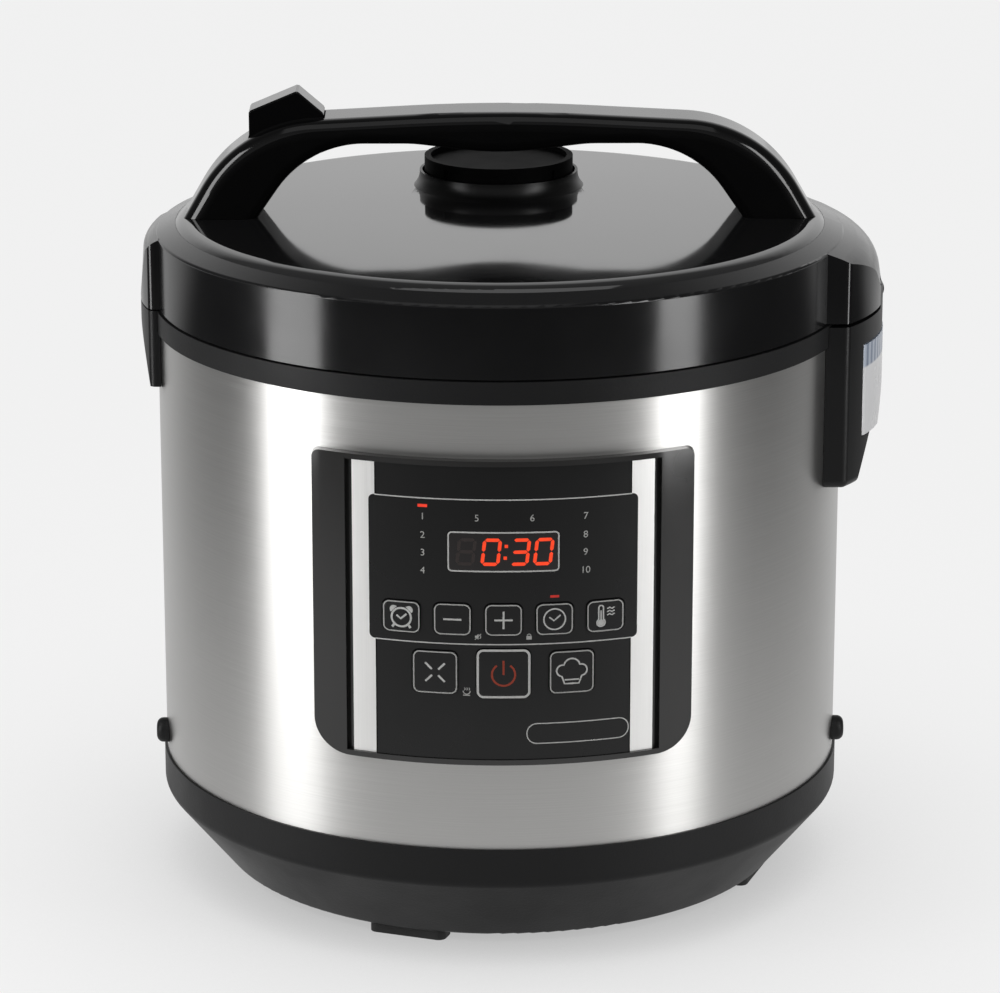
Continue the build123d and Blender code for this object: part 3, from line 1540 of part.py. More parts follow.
# Power board on the base's standoffs, with its relay, capacitor and transformer
power_board_z = base_floor + power_board_standoff
power_board_top = power_board_z + board_thickness
with BuildPart() as power_board:
    with BuildSketch(Plane.XY.offset(power_board_z)):
        Rectangle(power_board_length, power_board_width)
    extrude(amount=board_thickness)
    with BuildSketch(Plane.XY.offset(power_board_top)):
        with Locations((power_board_length / 4, power_board_width / 6)):
            Rectangle(transformer_width, transformer_width)
    extrude(amount=transformer_height)
    with BuildSketch(Plane.XY.offset(power_board_top)):
        with Locations((-power_board_length / 4, power_board_width / 6)):
            Rectangle(relay_width, relay_width)
    extrude(amount=relay_height)
    with BuildSketch(Plane.XY.offset(power_board_top)):
        with Locations((-power_board_length / 8, -power_board_width / 4)):
            Circle(capacitor_radius)
    extrude(amount=capacitor_height)
save(power_board, "power_board")

# Appliance inlet: a curved flange and a socket, with three blades
with BuildSketch(Plane.XZ) as inlet_flange:
    with Locations((0, inlet_z)):
        RectangleRounded(inlet_flange_width, inlet_flange_height, inlet_flange_corner)
inlet_front = body_radius + inlet_flange_thickness
with BuildPart() as power_inlet:
    add(curved_plate(inlet_flange.sketch, body_radius + seat_gap, inlet_front, side=-1))
    with BuildSketch(Plane.XZ.offset(-inlet_back)):
        with Locations((0, inlet_z)):
            Rectangle(inlet_body_width, inlet_body_height)
    extrude(amount=-(body_radius - inlet_back))
    with BuildSketch(Plane.XZ.offset(-(inlet_back + inlet_wall))):
        with Locations((0, inlet_z)):
            RectangleRounded(
                inlet_body_width - 2 * inlet_wall, inlet_body_height - 2 * inlet_wall, inlet_flange_corner
            )
    extrude(amount=-body_radius, mode=Mode.SUBTRACT)
save(power_inlet, "power_inlet")

with BuildPart() as inlet_pins:
    with BuildSketch(Plane.XZ.offset(-(inlet_back + inlet_wall))):
        with Locations(
            (-inlet_pin_pitch, inlet_z - inlet_pin_raise),
            (0, inlet_z + inlet_pin_raise),
            (inlet_pin_pitch, inlet_z - inlet_pin_raise),
        ):
            Rectangle(inlet_pin_thickness, inlet_pin_width)
    extrude(amount=-inlet_pin_length)
save(inlet_pins, "inlet_pins")
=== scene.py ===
import math

import bpy
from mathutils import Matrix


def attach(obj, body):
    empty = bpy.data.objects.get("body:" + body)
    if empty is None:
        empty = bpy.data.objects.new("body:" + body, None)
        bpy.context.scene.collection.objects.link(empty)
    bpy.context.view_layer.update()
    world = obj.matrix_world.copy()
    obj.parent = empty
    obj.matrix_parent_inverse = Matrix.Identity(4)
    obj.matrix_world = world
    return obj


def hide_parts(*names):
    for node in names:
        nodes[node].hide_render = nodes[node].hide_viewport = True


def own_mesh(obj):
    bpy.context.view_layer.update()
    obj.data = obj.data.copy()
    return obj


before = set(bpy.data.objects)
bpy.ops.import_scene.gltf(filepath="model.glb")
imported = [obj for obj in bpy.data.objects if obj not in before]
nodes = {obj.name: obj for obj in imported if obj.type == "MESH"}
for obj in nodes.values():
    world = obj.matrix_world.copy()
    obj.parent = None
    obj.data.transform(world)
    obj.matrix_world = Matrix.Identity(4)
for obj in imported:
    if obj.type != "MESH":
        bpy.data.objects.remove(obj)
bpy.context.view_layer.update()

scene = bpy.context.scene
MM = 0.001

# Measures of the part in millimetres. The curved faces that carry print have these radii
FILM_RADIUS = 134.0
WINDOW_RADIUS = 134.1
KEY_RADIUS = 134.7
TRIM_RADIUS = 133.8

# Display window, and the inset that crosses the trim strips
WINDOW_SIZE = (40.4, 15.3)
WINDOW_Z = 161.3
TRIM_INNER_X = 46.2
TRIM_OVERLAP = 1.0
INSET_Z = 153.6
INSET_HEIGHT = 54.2
INSET_HALF = 48.4
INSET_CORNER = 2.0

# Keys: five small ones in a row and three large ones below
SMALL_KEY = (13.6, 12.0)
LARGE_KEY = (16.3, 16.3)
START_KEY = (19.5, 18.6)
KEY_CORNER = 2.5
SMALL_Z = 135.9
LARGE_Z = 115.6
PITCH = 18.4
LARGE_X = 24.7

# Lid collar, band of the cup, and travels of the pieces that press the springs
VALVE_Y = 46.0
COLLAR_RADIUS = 34.6
CUP_BAND_Z = 204.6
CUP_BAND_EDGE = 0.4
CUP_RIB_PITCH = 4.0
BUTTON_TRAVEL = 2.5
SENSOR_TRAVEL = 3.0


# Shader nodes

# Range that most values of the noise texture lie in
NOISE_RANGE = (0.3, 0.7)
# Detail of the noise: soft changes of tone and grain, streaks in metal, patches in gloss
SOFT_DETAIL = 2.0
STREAK_DETAIL = 4.0
PATCH_DETAIL = 5.0
# Depth of relief in metres
BUMP_DISTANCE = 0.0002
# Sockets of the colour mix
MIX_FACTOR = 0
MIX_COLOURS = (6, 7)
MIX_RESULT = 2


def new_material(name):
    material = bpy.data.materials.new(name)
    material.use_nodes = True
    return material, material.node_tree, material.node_tree.nodes["Principled BSDF"]


def fill(node, values):
    for key, value in values.items():
        node.inputs[key].default_value = value


def put(tree, kind, values=None, **settings):
    node = tree.nodes.new(kind)
    for key, value in settings.items():
        setattr(node, key, value)
    fill(node, values or {})
    return node


def link(tree, output, node, key):
    tree.links.new(output, node.inputs[key])


def object_coords(tree):
    return put(tree, "ShaderNodeTexCoord").outputs["Object"]


def axes_of(tree, vector):
    node = put(tree, "ShaderNodeSeparateXYZ")
    link(tree, vector, node, "Vector")
    return node.outputs


def noise(tree, vector, scale, detail=3.0, roughness=0.55):
    node = put(tree, "ShaderNodeTexNoise",
               {"Scale": scale, "Detail": detail, "Roughness": roughness})
    link(tree, vector, node, "Vector")
    return node.outputs["Fac"]


def ranged(tree, value, start, end, low=0.0, high=1.0, kind="LINEAR"):
    node = put(tree, "ShaderNodeMapRange",
               {"From Min": start, "From Max": end, "To Min": low, "To Max": high},
               interpolation_type=kind)
    link(tree, value, node, "Value")
    return node.outputs["Result"]


def spread(tree, value, low=0.0, high=1.0):
    """Noise brought from its usual range to another."""
    return ranged(tree, value, *NOISE_RANGE, low, high)


def fade(tree, value, start, end, low, high):
    return ranged(tree, value, start, end, low, high, "SMOOTHSTEP")


def reckon(tree, operation, *values):
    """Result of a sum on numbers and sockets."""
    node = put(tree, "ShaderNodeMath", operation=operation)
    for socket, value in zip(node.inputs, values):
        if isinstance(value, float):
            socket.default_value = value
        else:
            tree.links.new(value, socket)
    return node.outputs[0]


def shade(tree, factor, first, second):
    """Mix of two colours, each a triple or a socket."""
    node = put(tree, "ShaderNodeMix", data_type="RGBA")
    link(tree, factor, node, MIX_FACTOR)
    for key, colour in zip(MIX_COLOURS, (first, second)):
        if isinstance(colour, tuple):
            node.inputs[key].default_value = (*colour, 1.0)
        else:
            link(tree, colour, node, key)
    return node.outputs[MIX_RESULT]


def scaled(colour, factor):
    return tuple(c * factor for c in colour)


def tint(tree, shader, factor, first, second):
    link(tree, shade(tree, factor, first, second), shader, "Base Color")


def roughen(tree, shader, value, rough, vary):
    link(tree, spread(tree, value, rough - vary, rough + vary), shader, "Roughness")


def bump(tree, shader, height, relief, distance=BUMP_DISTANCE):
    node = put(tree, "ShaderNodeBump", {"Strength": relief, "Distance": distance})
    link(tree, height, node, "Height")
    link(tree, node.outputs["Normal"], shader, "Normal")


# Materials

# Gloss patches and tone of plastics
PATCH_SCALE = 28.0
TONE_SCALE = 9.0
TONE_DARK = 0.86
TONE_LIGHT = 1.14
# Bare metal
METAL_DARK = 0.9
METAL_RELIEF = 0.03
# Brushed sleeve: lines per radian and per metre of height, and a cloud over them
BRUSH_ALONG = 2.2
BRUSH_ACROSS = 2600.0
BRUSH_ROUGHNESS = 0.7
BRUSH_RELIEF = 0.05
BRUSH_DISTANCE = 0.00005
CLOUD_SCALE = 14.0
CLOUD_SHARE = 0.25
STEEL_DARK = (0.50, 0.495, 0.485)
STEEL_LIGHT = (0.70, 0.695, 0.68)
# Clear cup and its ribbed band, whose ribs are painted as stripes of shade and highlight
HAZE_SCALE = 60.0
CUP_TONE = (0.95, 0.95, 0.96)
RIB_PAINTED_SHADE = (0.25, 0.30, 0.40)
RIB_PAINTED_HIGHLIGHT = (0.60, 0.66, 0.76)
# Print and lit marks
WEAR_SCALE = 900.0
WEAR_FADE = 0.82
INK_ROUGHNESS = 0.45
GLOW_SCALE = 700.0
GLOW_LOW = 0.85
GLOW_HIGH = 1.1
UNLIT = (0.05, 0.004, 0.002)


def plastic(name, colour, rough, vary, grain, relief, ior=1.5, level=0.5, coat=0.0):
    """Moulded plastic: patchy gloss, a faint change of tone and a moulded grain."""
    material, tree, shader = new_material(name)
    fill(shader, {"IOR": ior, "Specular IOR Level": level, "Coat Weight": coat})
    where = object_coords(tree)
    roughen(tree, shader, noise(tree, where, PATCH_SCALE, PATCH_DETAIL), rough, vary)
    tone = spread(tree, noise(tree, where, TONE_SCALE, SOFT_DETAIL))
    tint(tree, shader, tone, scaled(colour, TONE_DARK), scaled(colour, TONE_LIGHT))
    bump(tree, shader, noise(tree, where, grain, SOFT_DETAIL), relief)
    return material


def polished(name, colour, rough, vary, grain, relief, ior):
    """Polished plastic of one tone."""
    material, tree, shader = new_material(name)
    fill(shader, {"IOR": ior, "Base Color": (*colour, 1.0)})
    where = object_coords(tree)
    roughen(tree, shader, noise(tree, where, PATCH_SCALE, PATCH_DETAIL), rough, vary)
    bump(tree, shader, noise(tree, where, grain, SOFT_DETAIL), relief)
    return material


def metal(name, colour, rough, vary, scale, stretch=(1.0, 1.0, 1.0)):
    """Bare metal with streaks or patches in its gloss."""
    material, tree, shader = new_material(name)
    fill(shader, {"Metallic": 1.0})
    mapping = put(tree, "ShaderNodeMapping", {"Scale": stretch})
    link(tree, object_coords(tree), mapping, "Vector")
    streaks = noise(tree, mapping.outputs["Vector"], scale, STREAK_DETAIL)
    roughen(tree, shader, streaks, rough, vary)
    tint(tree, shader, streaks, scaled(colour, METAL_DARK), colour)
    bump(tree, shader, streaks, METAL_RELIEF)
    return material


def brushed_sleeve(name, rough, vary):
    """Sheet steel brushed round the body: fine lines along the turn spread light up and down."""
    material, tree, shader = new_material(name)
    fill(shader, {"Metallic": 1.0, "Anisotropic": 0.85, "Anisotropic Rotation": 0.25})
    where = object_coords(tree)
    axes = axes_of(tree, where)
    turn = reckon(tree, "ARCTAN2", axes["Y"], axes["X"])
    fine = put(tree, "ShaderNodeCombineXYZ")
    link(tree, reckon(tree, "MULTIPLY", turn, BRUSH_ALONG), fine, "X")
    link(tree, reckon(tree, "MULTIPLY", axes["Z"], BRUSH_ACROSS), fine, "Y")
    lines = noise(tree, fine.outputs["Vector"], 1.0, STREAK_DETAIL, BRUSH_ROUGHNESS)
    cloud = noise(tree, where, CLOUD_SCALE)
    roughen(tree, shader, reckon(tree, "MULTIPLY_ADD", cloud, CLOUD_SHARE, lines), rough, vary)
    tint(tree, shader, lines, STEEL_DARK, STEEL_LIGHT)
    tangent = put(tree, "ShaderNodeTangent", direction_type="RADIAL", axis="Z")
    link(tree, tangent.outputs["Tangent"], shader, "Tangent")
    bump(tree, shader, lines, BRUSH_RELIEF, BRUSH_DISTANCE)
    return material


def clear_cup(name, rough, vary, alpha, ior):
    """Clear plastic, seen through in part, with a slight haze and a band near the top whose ribs
    are painted as stripes of shade and highlight.
    """
    material, tree, shader = new_material(name)
    fill(shader, {"Alpha": alpha, "IOR": ior})
    where = object_coords(tree)
    roughen(tree, shader, noise(tree, where, HAZE_SCALE), rough, vary)
    axes = axes_of(tree, where)
    # Painted shade and highlight: a sine across the cup makes alternate dark and light stripes in
    # the band, standing in for lit ribs
    turns = reckon(tree, "MULTIPLY", axes["Y"], math.tau / (CUP_RIB_PITCH * MM))
    rib_shading = ranged(tree, reckon(tree, "SINE", turns), -1.0, 1.0)
    band = ranged(tree, axes["Z"], (CUP_BAND_Z - CUP_BAND_EDGE) * MM,
                  (CUP_BAND_Z + CUP_BAND_EDGE) * MM)
    tint(tree, shader, band, CUP_TONE, shade(tree, rib_shading, RIB_PAINTED_SHADE, RIB_PAINTED_HIGHLIGHT))
    return material


def ink(name, colour):
    """Printed ink with an uneven, slightly worn film."""
    material, tree, shader = new_material(name)
    fill(shader, {"Roughness": INK_ROUGHNESS})
    wear = spread(tree, noise(tree, object_coords(tree), WEAR_SCALE))
    tint(tree, shader, wear, scaled(colour, WEAR_FADE), colour)
    return material


def lamp(name, colour, strength):
    """Lit segment or indicator: glowing, with a small unevenness."""
    material, tree, shader = new_material(name)
    fill(shader, {"Base Color": (*UNLIT, 1.0), "Emission Color": (*colour, 1.0)})
    glow = noise(tree, object_coords(tree), GLOW_SCALE, SOFT_DETAIL)
    glow = spread(tree, glow, strength * GLOW_LOW, strength * GLOW_HIGH)
    link(tree, glow, shader, "Emission Strength")
    return material


black_matte = plastic("black_matte", (0.010, 0.010, 0.0104), rough=0.50, vary=0.06,
                      grain=900.0, relief=0.30, level=0.25)
black_satin = plastic("black_satin", (0.008, 0.008, 0.0084), rough=0.17, vary=0.03,
                      grain=1100.0, relief=0.02)
black_housing = plastic("black_housing", (0.006, 0.006, 0.0063), rough=0.38, vary=0.05,
                        grain=1100.0, relief=0.04, level=0.3)
black_gloss = plastic("black_gloss", (0.002, 0.002, 0.0022), rough=0.10, vary=0.02,
                      grain=300.0, relief=0.01)
black_dull = plastic("black_dull", (0.0015, 0.0015, 0.0016), rough=0.40, vary=0.06,
                     grain=1200.0, relief=0.06, level=0.08)
valve_black = plastic("valve_black", (0.002, 0.002, 0.0021), rough=0.62, vary=0.06,
                      grain=1200.0, relief=0.05, level=0.05)
collar_black = plastic("collar_black", (0.002, 0.002, 0.0021), rough=0.36, vary=0.04,
                       grain=1200.0, relief=0.03, level=0.4)
frame_gloss = plastic("frame_gloss", (0.022, 0.0215, 0.021), rough=0.12, vary=0.03,
                      grain=300.0, relief=0.01, ior=1.6)
lid_gloss = polished("lid_gloss", (0.010, 0.010, 0.0105), rough=0.07, vary=0.02,
                     grain=40.0, relief=0.003, ior=2.2)
film_black = plastic("film_black", (0.007, 0.007, 0.0071), rough=0.30, vary=0.05,
                     grain=1500.0, relief=0.03, level=0.4)
key_black = plastic("key_black", (0.007, 0.007, 0.0072), rough=0.24, vary=0.04,
                    grain=1200.0, relief=0.03, level=0.4)
window_black = plastic("window_black", (0.008, 0.005, 0.005), rough=0.10, vary=0.03,
                       grain=200.0, relief=0.01, coat=0.3)
rubber_black = plastic("rubber_black", (0.016, 0.016, 0.016), rough=0.75, vary=0.08,
                       grain=1400.0, relief=0.4)
silicone = plastic("silicone", (0.62, 0.61, 0.57), rough=0.55, vary=0.06,
                   grain=600.0, relief=0.1)
board_green = plastic("board_green", (0.03, 0.13, 0.06), rough=0.4, vary=0.08,
                      grain=800.0, relief=0.1)
pot_coat = plastic("pot_coat", (0.035, 0.035, 0.037), rough=0.36, vary=0.06,
                   grain=1600.0, relief=0.2)
steel = brushed_sleeve("brushed_steel", rough=0.335, vary=0.065)
trim = metal("bright_trim", (0.98, 0.975, 0.96), rough=0.46, vary=0.06,
             scale=1.0, stretch=(2400.0, 2400.0, 30.0))
cast = metal("cast_aluminium", (0.62, 0.62, 0.62), rough=0.45, vary=0.1, scale=300.0)
sheet_steel = metal("sheet_steel", (0.50, 0.51, 0.52), rough=0.42, vary=0.1, scale=40.0)
plated = metal("plated_steel", (0.60, 0.60, 0.62), rough=0.25, vary=0.08, scale=200.0)
brass = metal("brass", (0.72, 0.55, 0.25), rough=0.30, vary=0.08, scale=200.0)
cup_clear = clear_cup("cup_clear", rough=0.23, vary=0.08, alpha=0.92, ior=1.49)
print_grey = ink("print_grey", (0.62, 0.62, 0.60))
print_white = ink("print_white", (0.78, 0.78, 0.76))
print_red = ink("print_red", (0.42, 0.06, 0.03))
ghost_segment = ink("ghost_segment", (0.040, 0.030, 0.028))
lit_segment = lamp("lit_segment", (1.0, 0.06, 0.012), strength=1.0)
lit_mark = lamp("lit_mark", (1.0, 0.05, 0.02), strength=0.9)
dim_mark = lamp("dim_mark", (0.75, 0.03, 0.02), strength=0.55)

finishes = {
    black_matte: ["base_shell", "top_ring", "side_caps", "power_inlet", "display_module",
                  "lid_liner", "valve_seat", "tact_switches"],
    black_satin: ["lid_rim", "steam_valve_base", "push_link"],
    black_housing: ["hinge_housing", "latch_housing"],
    black_gloss: ["handle_cover", "release_button"],
    black_dull: ["handle_arch"],
    valve_black: ["steam_valve_cap"],
    frame_gloss: ["panel_frame"],
    lid_gloss: ["lid_top"],
    film_black: ["panel_film"],
    key_black: ["key_delay", "key_minus", "key_plus", "key_time", "key_temperature",
                "key_cancel", "key_start", "key_menu"],
    window_black: ["display_window"],
    rubber_black: ["feet"],
    silicone: ["lid_gasket"],
    board_green: ["control_board", "power_board"],
    pot_coat: ["inner_pot"],
    steel: ["outer_shell"],
    trim: ["trim_strips"],
    cast: ["heating_plate", "inner_lid", "temperature_sensor"],
    sheet_steel: ["heat_shield", "latch_catch", "latch_hook"],
    plated: ["tie_bolts", "hinge_pin", "latch_pin", "handle_screws", "sensor_spring",
             "button_spring", "heating_element"],
    brass: ["inlet_pins"],
    cup_clear: ["condensate_cup"],
}
for material, names in finishes.items():
    for name in names:
        slots = nodes[name].data.materials
        slots.clear()
        slots.append(material)

# The lid panel's collar round the valve is moulded, not polished
lid_mesh = nodes["lid_top"].data
lid_mesh.materials.append(collar_black)
for face in lid_mesh.polygons:
    if math.hypot(face.center.x, face.center.y - VALVE_Y * MM) < COLLAR_RADIUS * MM:
        face.material_index = 1

# Each spring is shown as a copy of its mesh that moves with the body of its fixed lower end; the
# original is hidden
for name, body, joint, travel in (("button_spring", "lid", "button_press", BUTTON_TRAVEL),
                                  ("sensor_spring", "body", "sensor_press", SENSOR_TRAVEL)):
    coil = bpy.data.objects.new(name + "_coil", nodes[name].data.copy())
    coil.matrix_world = nodes[name].matrix_world
    scene.collection.objects.link(coil)
    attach(coil, body)
    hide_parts(name)
    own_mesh(coil)


# Print: flat outlines in (x, z), laid on a curved face and thin as ink

# Height of print above its face, and the longest step of a line along the curve
PRINT_LIFT = 0.03
PRINT_STEP = 1.5
CORNER_STEPS = 6
DOT_SIDES = 20
# Angles of an arc: the upper and lower half of a circle, and a circle left open at the top
TOP_HALF = (0, 180)
LOWER_HALF = (180, 360)
OPEN_TOP = (125, 415)


def arc(x, z, radius, start, end, count):
    step = (end - start) / count
    angles = [math.radians(start + step * i) for i in range(count + 1)]
    return [(x + radius * math.cos(a), z + radius * math.sin(a)) for a in angles]


def ring(x, z, radius, sides):
    return arc(x, z, radius, 0, 360 - 360 / sides, sides - 1)


def rounded(x, z, width, height, corner):
    a = width / 2 - corner
    b = height / 2 - corner
    points = []
    for sx, sz, start in ((1, 1, 0), (-1, 1, 90), (-1, -1, 180), (1, -1, 270)):
        points += arc(x + sx * a, z + sz * b, corner, start, start + 90, CORNER_STEPS)
    return points


def divided(points, closed):
    ends = points[1:] + points[:1] if closed else points[1:]
    result = []
    for (x0, z0), (x1, z1) in zip(points, ends):
        count = max(1, int(math.hypot(x1 - x0, z1 - z0) / PRINT_STEP))
        result += [(x0 + (x1 - x0) * i / count, z0 + (z1 - z0) * i / count) for i in range(count)]
    return result if closed else result + [points[-1]]


def stroke(points, width, closed=False):
    """Quads along a line of even width."""
    line = divided(points, closed)
    count = len(line)
    sides = []
    for i, (x, z) in enumerate(line):
        before = line[i - 1] if closed or i else line[i]
        after = line[(i + 1) % count] if closed or i < count - 1 else line[i]
        dx, dz = after[0] - before[0], after[1] - before[1]
        size = math.hypot(dx, dz) or 1.0
        nx, nz = -dz / size * width / 2, dx / size * width / 2
        sides.append(((x + nx, z + nz), (x - nx, z - nz)))
    pairs = zip(sides, sides[1:] + sides[:1]) if closed else zip(sides, sides[1:])
    return [(a[0], a[1], b[1], b[0]) for a, b in pairs]


def dot(x, z, radius):
    return [tuple(ring(x, z, radius, DOT_SIDES))]


def bar(x, z, width, height):
    count = max(1, int(width / PRINT_STEP))
    step = width / count
    edges = [x - width / 2 + step * i for i in range(count + 1)]
    low, high = z - height / 2, z + height / 2
    return [((a, low), (b, low), (b, high), (a, high)) for a, b in zip(edges, edges[1:])]


def numeral(text, x, z, size):
    """Faces of a plain number, centred on a place."""
    curve = bpy.data.curves.new("numeral_" + text, "FONT")
    curve.body = text
    curve.size = size
    curve.align_x = "CENTER"
    curve.align_y = "CENTER"
    holder = bpy.data.objects.new("numeral_" + text, curve)
    scene.collection.objects.link(holder)
    bpy.context.view_layer.update()
    depsgraph = bpy.context.evaluated_depsgraph_get()
    mesh = bpy.data.meshes.new_from_object(holder.evaluated_get(depsgraph))
    corners = [(x + vertex.co.x, z + vertex.co.y) for vertex in mesh.vertices]
    faces = [tuple(corners[i] for i in face.vertices) for face in mesh.polygons]
    bpy.data.objects.remove(holder)
    bpy.data.meshes.remove(mesh)
    bpy.data.curves.remove(curve)
    return faces


def lay(name, faces, radius, material, body="body"):
    """One printed piece on a curved face of the given radius, moving with a body."""
    points = []
    indices = []
    for face in faces:
        indices.append(tuple(range(len(points), len(points) + len(face))))
        points += [(x * MM, -(math.sqrt(radius ** 2 - x ** 2) + PRINT_LIFT) * MM, z * MM)
                   for x, z in face]
    mesh = bpy.data.meshes.new(name)
    mesh.from_pydata(points, [], indices)
    mesh.update()
    mesh.materials.append(material)
    piece = bpy.data.objects.new(name, mesh)
    scene.collection.objects.link(piece)
    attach(piece, body)


# Display: an edge line, and seven-segment digits inside it
WINDOW_LINE = 0.55
WINDOW_LINE_INSET = 0.8
WINDOW_LINE_CORNER = 1.3
SEGMENTS = {"0": "abcdef", "3": "abcdg", "8": "abcdefg"}
DIGIT_WIDTH = 5.6
DIGIT_HEIGHT = 9.0
DIGIT_STROKE = 1.25
DIGIT_SLANT = 0.11
DIGIT_GAP = 0.15
GHOST_X = -13.4
DIGITS = (("0", -4.4), ("3", 6.0), ("0", 14.4))
COLON = ((1.0, 2.2), (0.6, -2.2))
COLON_DOT = 1.2


def segment(x0, z0, x1, z1):
    half = DIGIT_STROKE / 2
    if z0 == z1:
        return ((x0, z0), (x0 + half, z0 - half), (x1 - half, z0 - half),
                (x1, z0), (x1 - half, z0 + half), (x0 + half, z0 + half))
    return ((x0, z0), (x0 + half, z0 + half), (x0 + half, z1 - half),
            (x0, z1), (x0 - half, z1 - half), (x0 - half, z0 + half))


def digit(text, x):
    right, top, gap = DIGIT_WIDTH / 2, DIGIT_HEIGHT / 2, DIGIT_GAP
    shapes = {
        "a": segment(-right + gap, top, right - gap, top),
        "d": segment(-right + gap, -top, right - gap, -top),
        "g": segment(-right + gap, 0, right - gap, 0),
        "b": segment(right, gap, right, top - gap),
        "c": segment(right, -top + gap, right, -gap),
        "e": segment(-right, -top + gap, -right, -gap),
        "f": segment(-right, gap, -right, top - gap),
    }
    return [tuple((x + px + pz * DIGIT_SLANT, WINDOW_Z + pz) for px, pz in shapes[key])
            for key in SEGMENTS[text]]


window_line = rounded(0, WINDOW_Z, WINDOW_SIZE[0] - WINDOW_LINE_INSET,
                      WINDOW_SIZE[1] - WINDOW_LINE_INSET, WINDOW_LINE_CORNER)
lit_digits = [face for text, x in DIGITS for face in digit(text, x)]
colon = [face for x, rise in COLON for face in bar(x, WINDOW_Z + rise, COLON_DOT, COLON_DOT)]
lay("display_edge", stroke(window_line, WINDOW_LINE, True), WINDOW_RADIUS, print_white)
lay("display_ghost", digit("8", GHOST_X), WINDOW_RADIUS, ghost_segment)
lay("display_digits", lit_digits, WINDOW_RADIUS, lit_segment)
lay("display_colon", colon, WINDOW_RADIUS, lit_segment)

# Panel: black sides over the trim strips with a line above and below, an empty plate, plain
# program numbers and indicator marks
PANEL_LINE = 0.45
PLATE_LINE = 0.4
PLATE_PLACE = (27.0, 92.4)
PLATE_SIZE = (37.0, 7.6)
PLATE_CORNER = 3.6
NUMBER_SIZE = 3.6
LEFT_X, RIGHT_X = -29.0, 29.5
MIDDLE_X = (-9.6, 10.3)
NUMBER_ROWS = (173.8, 166.9, 160.3, 153.6)
PROGRAM_MARK_Z = 177.9
PROGRAM_MARK_SIZE = (3.4, 1.1)
TIME_MARK_Z = 144.3
TIME_MARK_SIZE = (3.2, 0.9)

for side, name in ((-1, "left"), (1, "right")):
    edge = arc(side * (INSET_HALF - INSET_CORNER), INSET_Z + INSET_HEIGHT / 2 - INSET_CORNER,
               INSET_CORNER, 90, 90 - side * 90, CORNER_STEPS)
    edge += [(x, 2 * INSET_Z - z) for x, z in reversed(edge)]
    inner = side * (TRIM_INNER_X - TRIM_OVERLAP)
    rows = [((inner, z0), (x0, z0), (x1, z1), (inner, z1))
            for (x0, z0), (x1, z1) in zip(edge, edge[1:])]
    lay("panel_inset_" + name, rows, TRIM_RADIUS, film_black)
for end, name in ((-1, "lower"), (1, "upper")):
    level = INSET_Z + end * INSET_HEIGHT / 2
    line = [(-TRIM_INNER_X, level), (TRIM_INNER_X, level)]
    lay("panel_line_" + name, stroke(line, PANEL_LINE), FILM_RADIUS, print_white)
plate = rounded(*PLATE_PLACE, *PLATE_SIZE, PLATE_CORNER)
lay("panel_plate_line", stroke(plate, PLATE_LINE, True), FILM_RADIUS, print_white)
places = [(LEFT_X, z) for z in NUMBER_ROWS]
places += [(x, NUMBER_ROWS[0]) for x in MIDDLE_X]
places += [(RIGHT_X, z) for z in NUMBER_ROWS]
numbers = []
for index, place in enumerate(places):
    numbers += numeral(str(index + 1), *place, NUMBER_SIZE)
lay("panel_numbers", numbers, FILM_RADIUS, print_grey)
lay("program_mark", bar(LEFT_X, PROGRAM_MARK_Z, *PROGRAM_MARK_SIZE), FILM_RADIUS, lit_mark)
lay("time_mark", bar(PITCH, TIME_MARK_Z, *TIME_MARK_SIZE), FILM_RADIUS, dim_mark)


# Keys: an edge line and a plain sign on each, drawn about the key's middle
KEY_LINE = 0.45
START_LINE = 0.85
KEY_LINE_INSET = 0.9
KEY_LINE_CORNER = KEY_CORNER - 0.4
SIGN_LINE = 0.75
# Ends and middle of a clock's hands, as shares of its radius
CLOCK_HANDS = ((-0.5, 0.22), (-0.06, -0.14), (0.55, 0.40))
CLOCK_SIDES = 24


def key_print(name, x, z, size, sign, line=KEY_LINE, line_ink=print_grey, sign_ink=print_white):
    outline = rounded(x, z, size[0] - KEY_LINE_INSET, size[1] - KEY_LINE_INSET, KEY_LINE_CORNER)
    body = "button_" + name
    outline = stroke(outline, line, True)
    lay("key_line_" + name, outline, KEY_RADIUS, line_ink, body)
    lay("key_sign_" + name, sign(x, z), KEY_RADIUS, sign_ink, body)


def clock(x, z, radius, width):
    hands = [(x + radius * px, z + radius * pz) for px, pz in CLOCK_HANDS]
    return stroke(ring(x, z, radius, CLOCK_SIDES), width, True) + stroke(hands, width)


def alarm_sign(x, z):
    face_drop, face_radius = 0.3, 3.5
    bell_x, bell_z, bell_radius, bell_tilt = 2.7, 2.6, 1.5, 45
    hip, foot, leg_line = (2.5, -3.0), (3.3, -4.1), 0.9
    bells, legs = [], []
    for side in (-1, 1):
        start = -side * bell_tilt
        bell = arc(x + side * bell_x, z + bell_z, bell_radius, start, start + 180, count=10)
        bells.append(tuple(bell))
        legs += stroke([(x + side * px, z + pz) for px, pz in (hip, foot)], leg_line)
    return clock(x, z - face_drop, face_radius, SIGN_LINE) + bells + legs


def minus_sign(x, z, length=6.6, line=0.7):
    return bar(x, z, length, line)


def plus_sign(x, z, length=6.6, line=0.7):
    return bar(x, z, length, line) + bar(x, z, line, length)


def clock_sign(x, z, radius=3.9, line=0.55):
    return clock(x, z, radius, line)


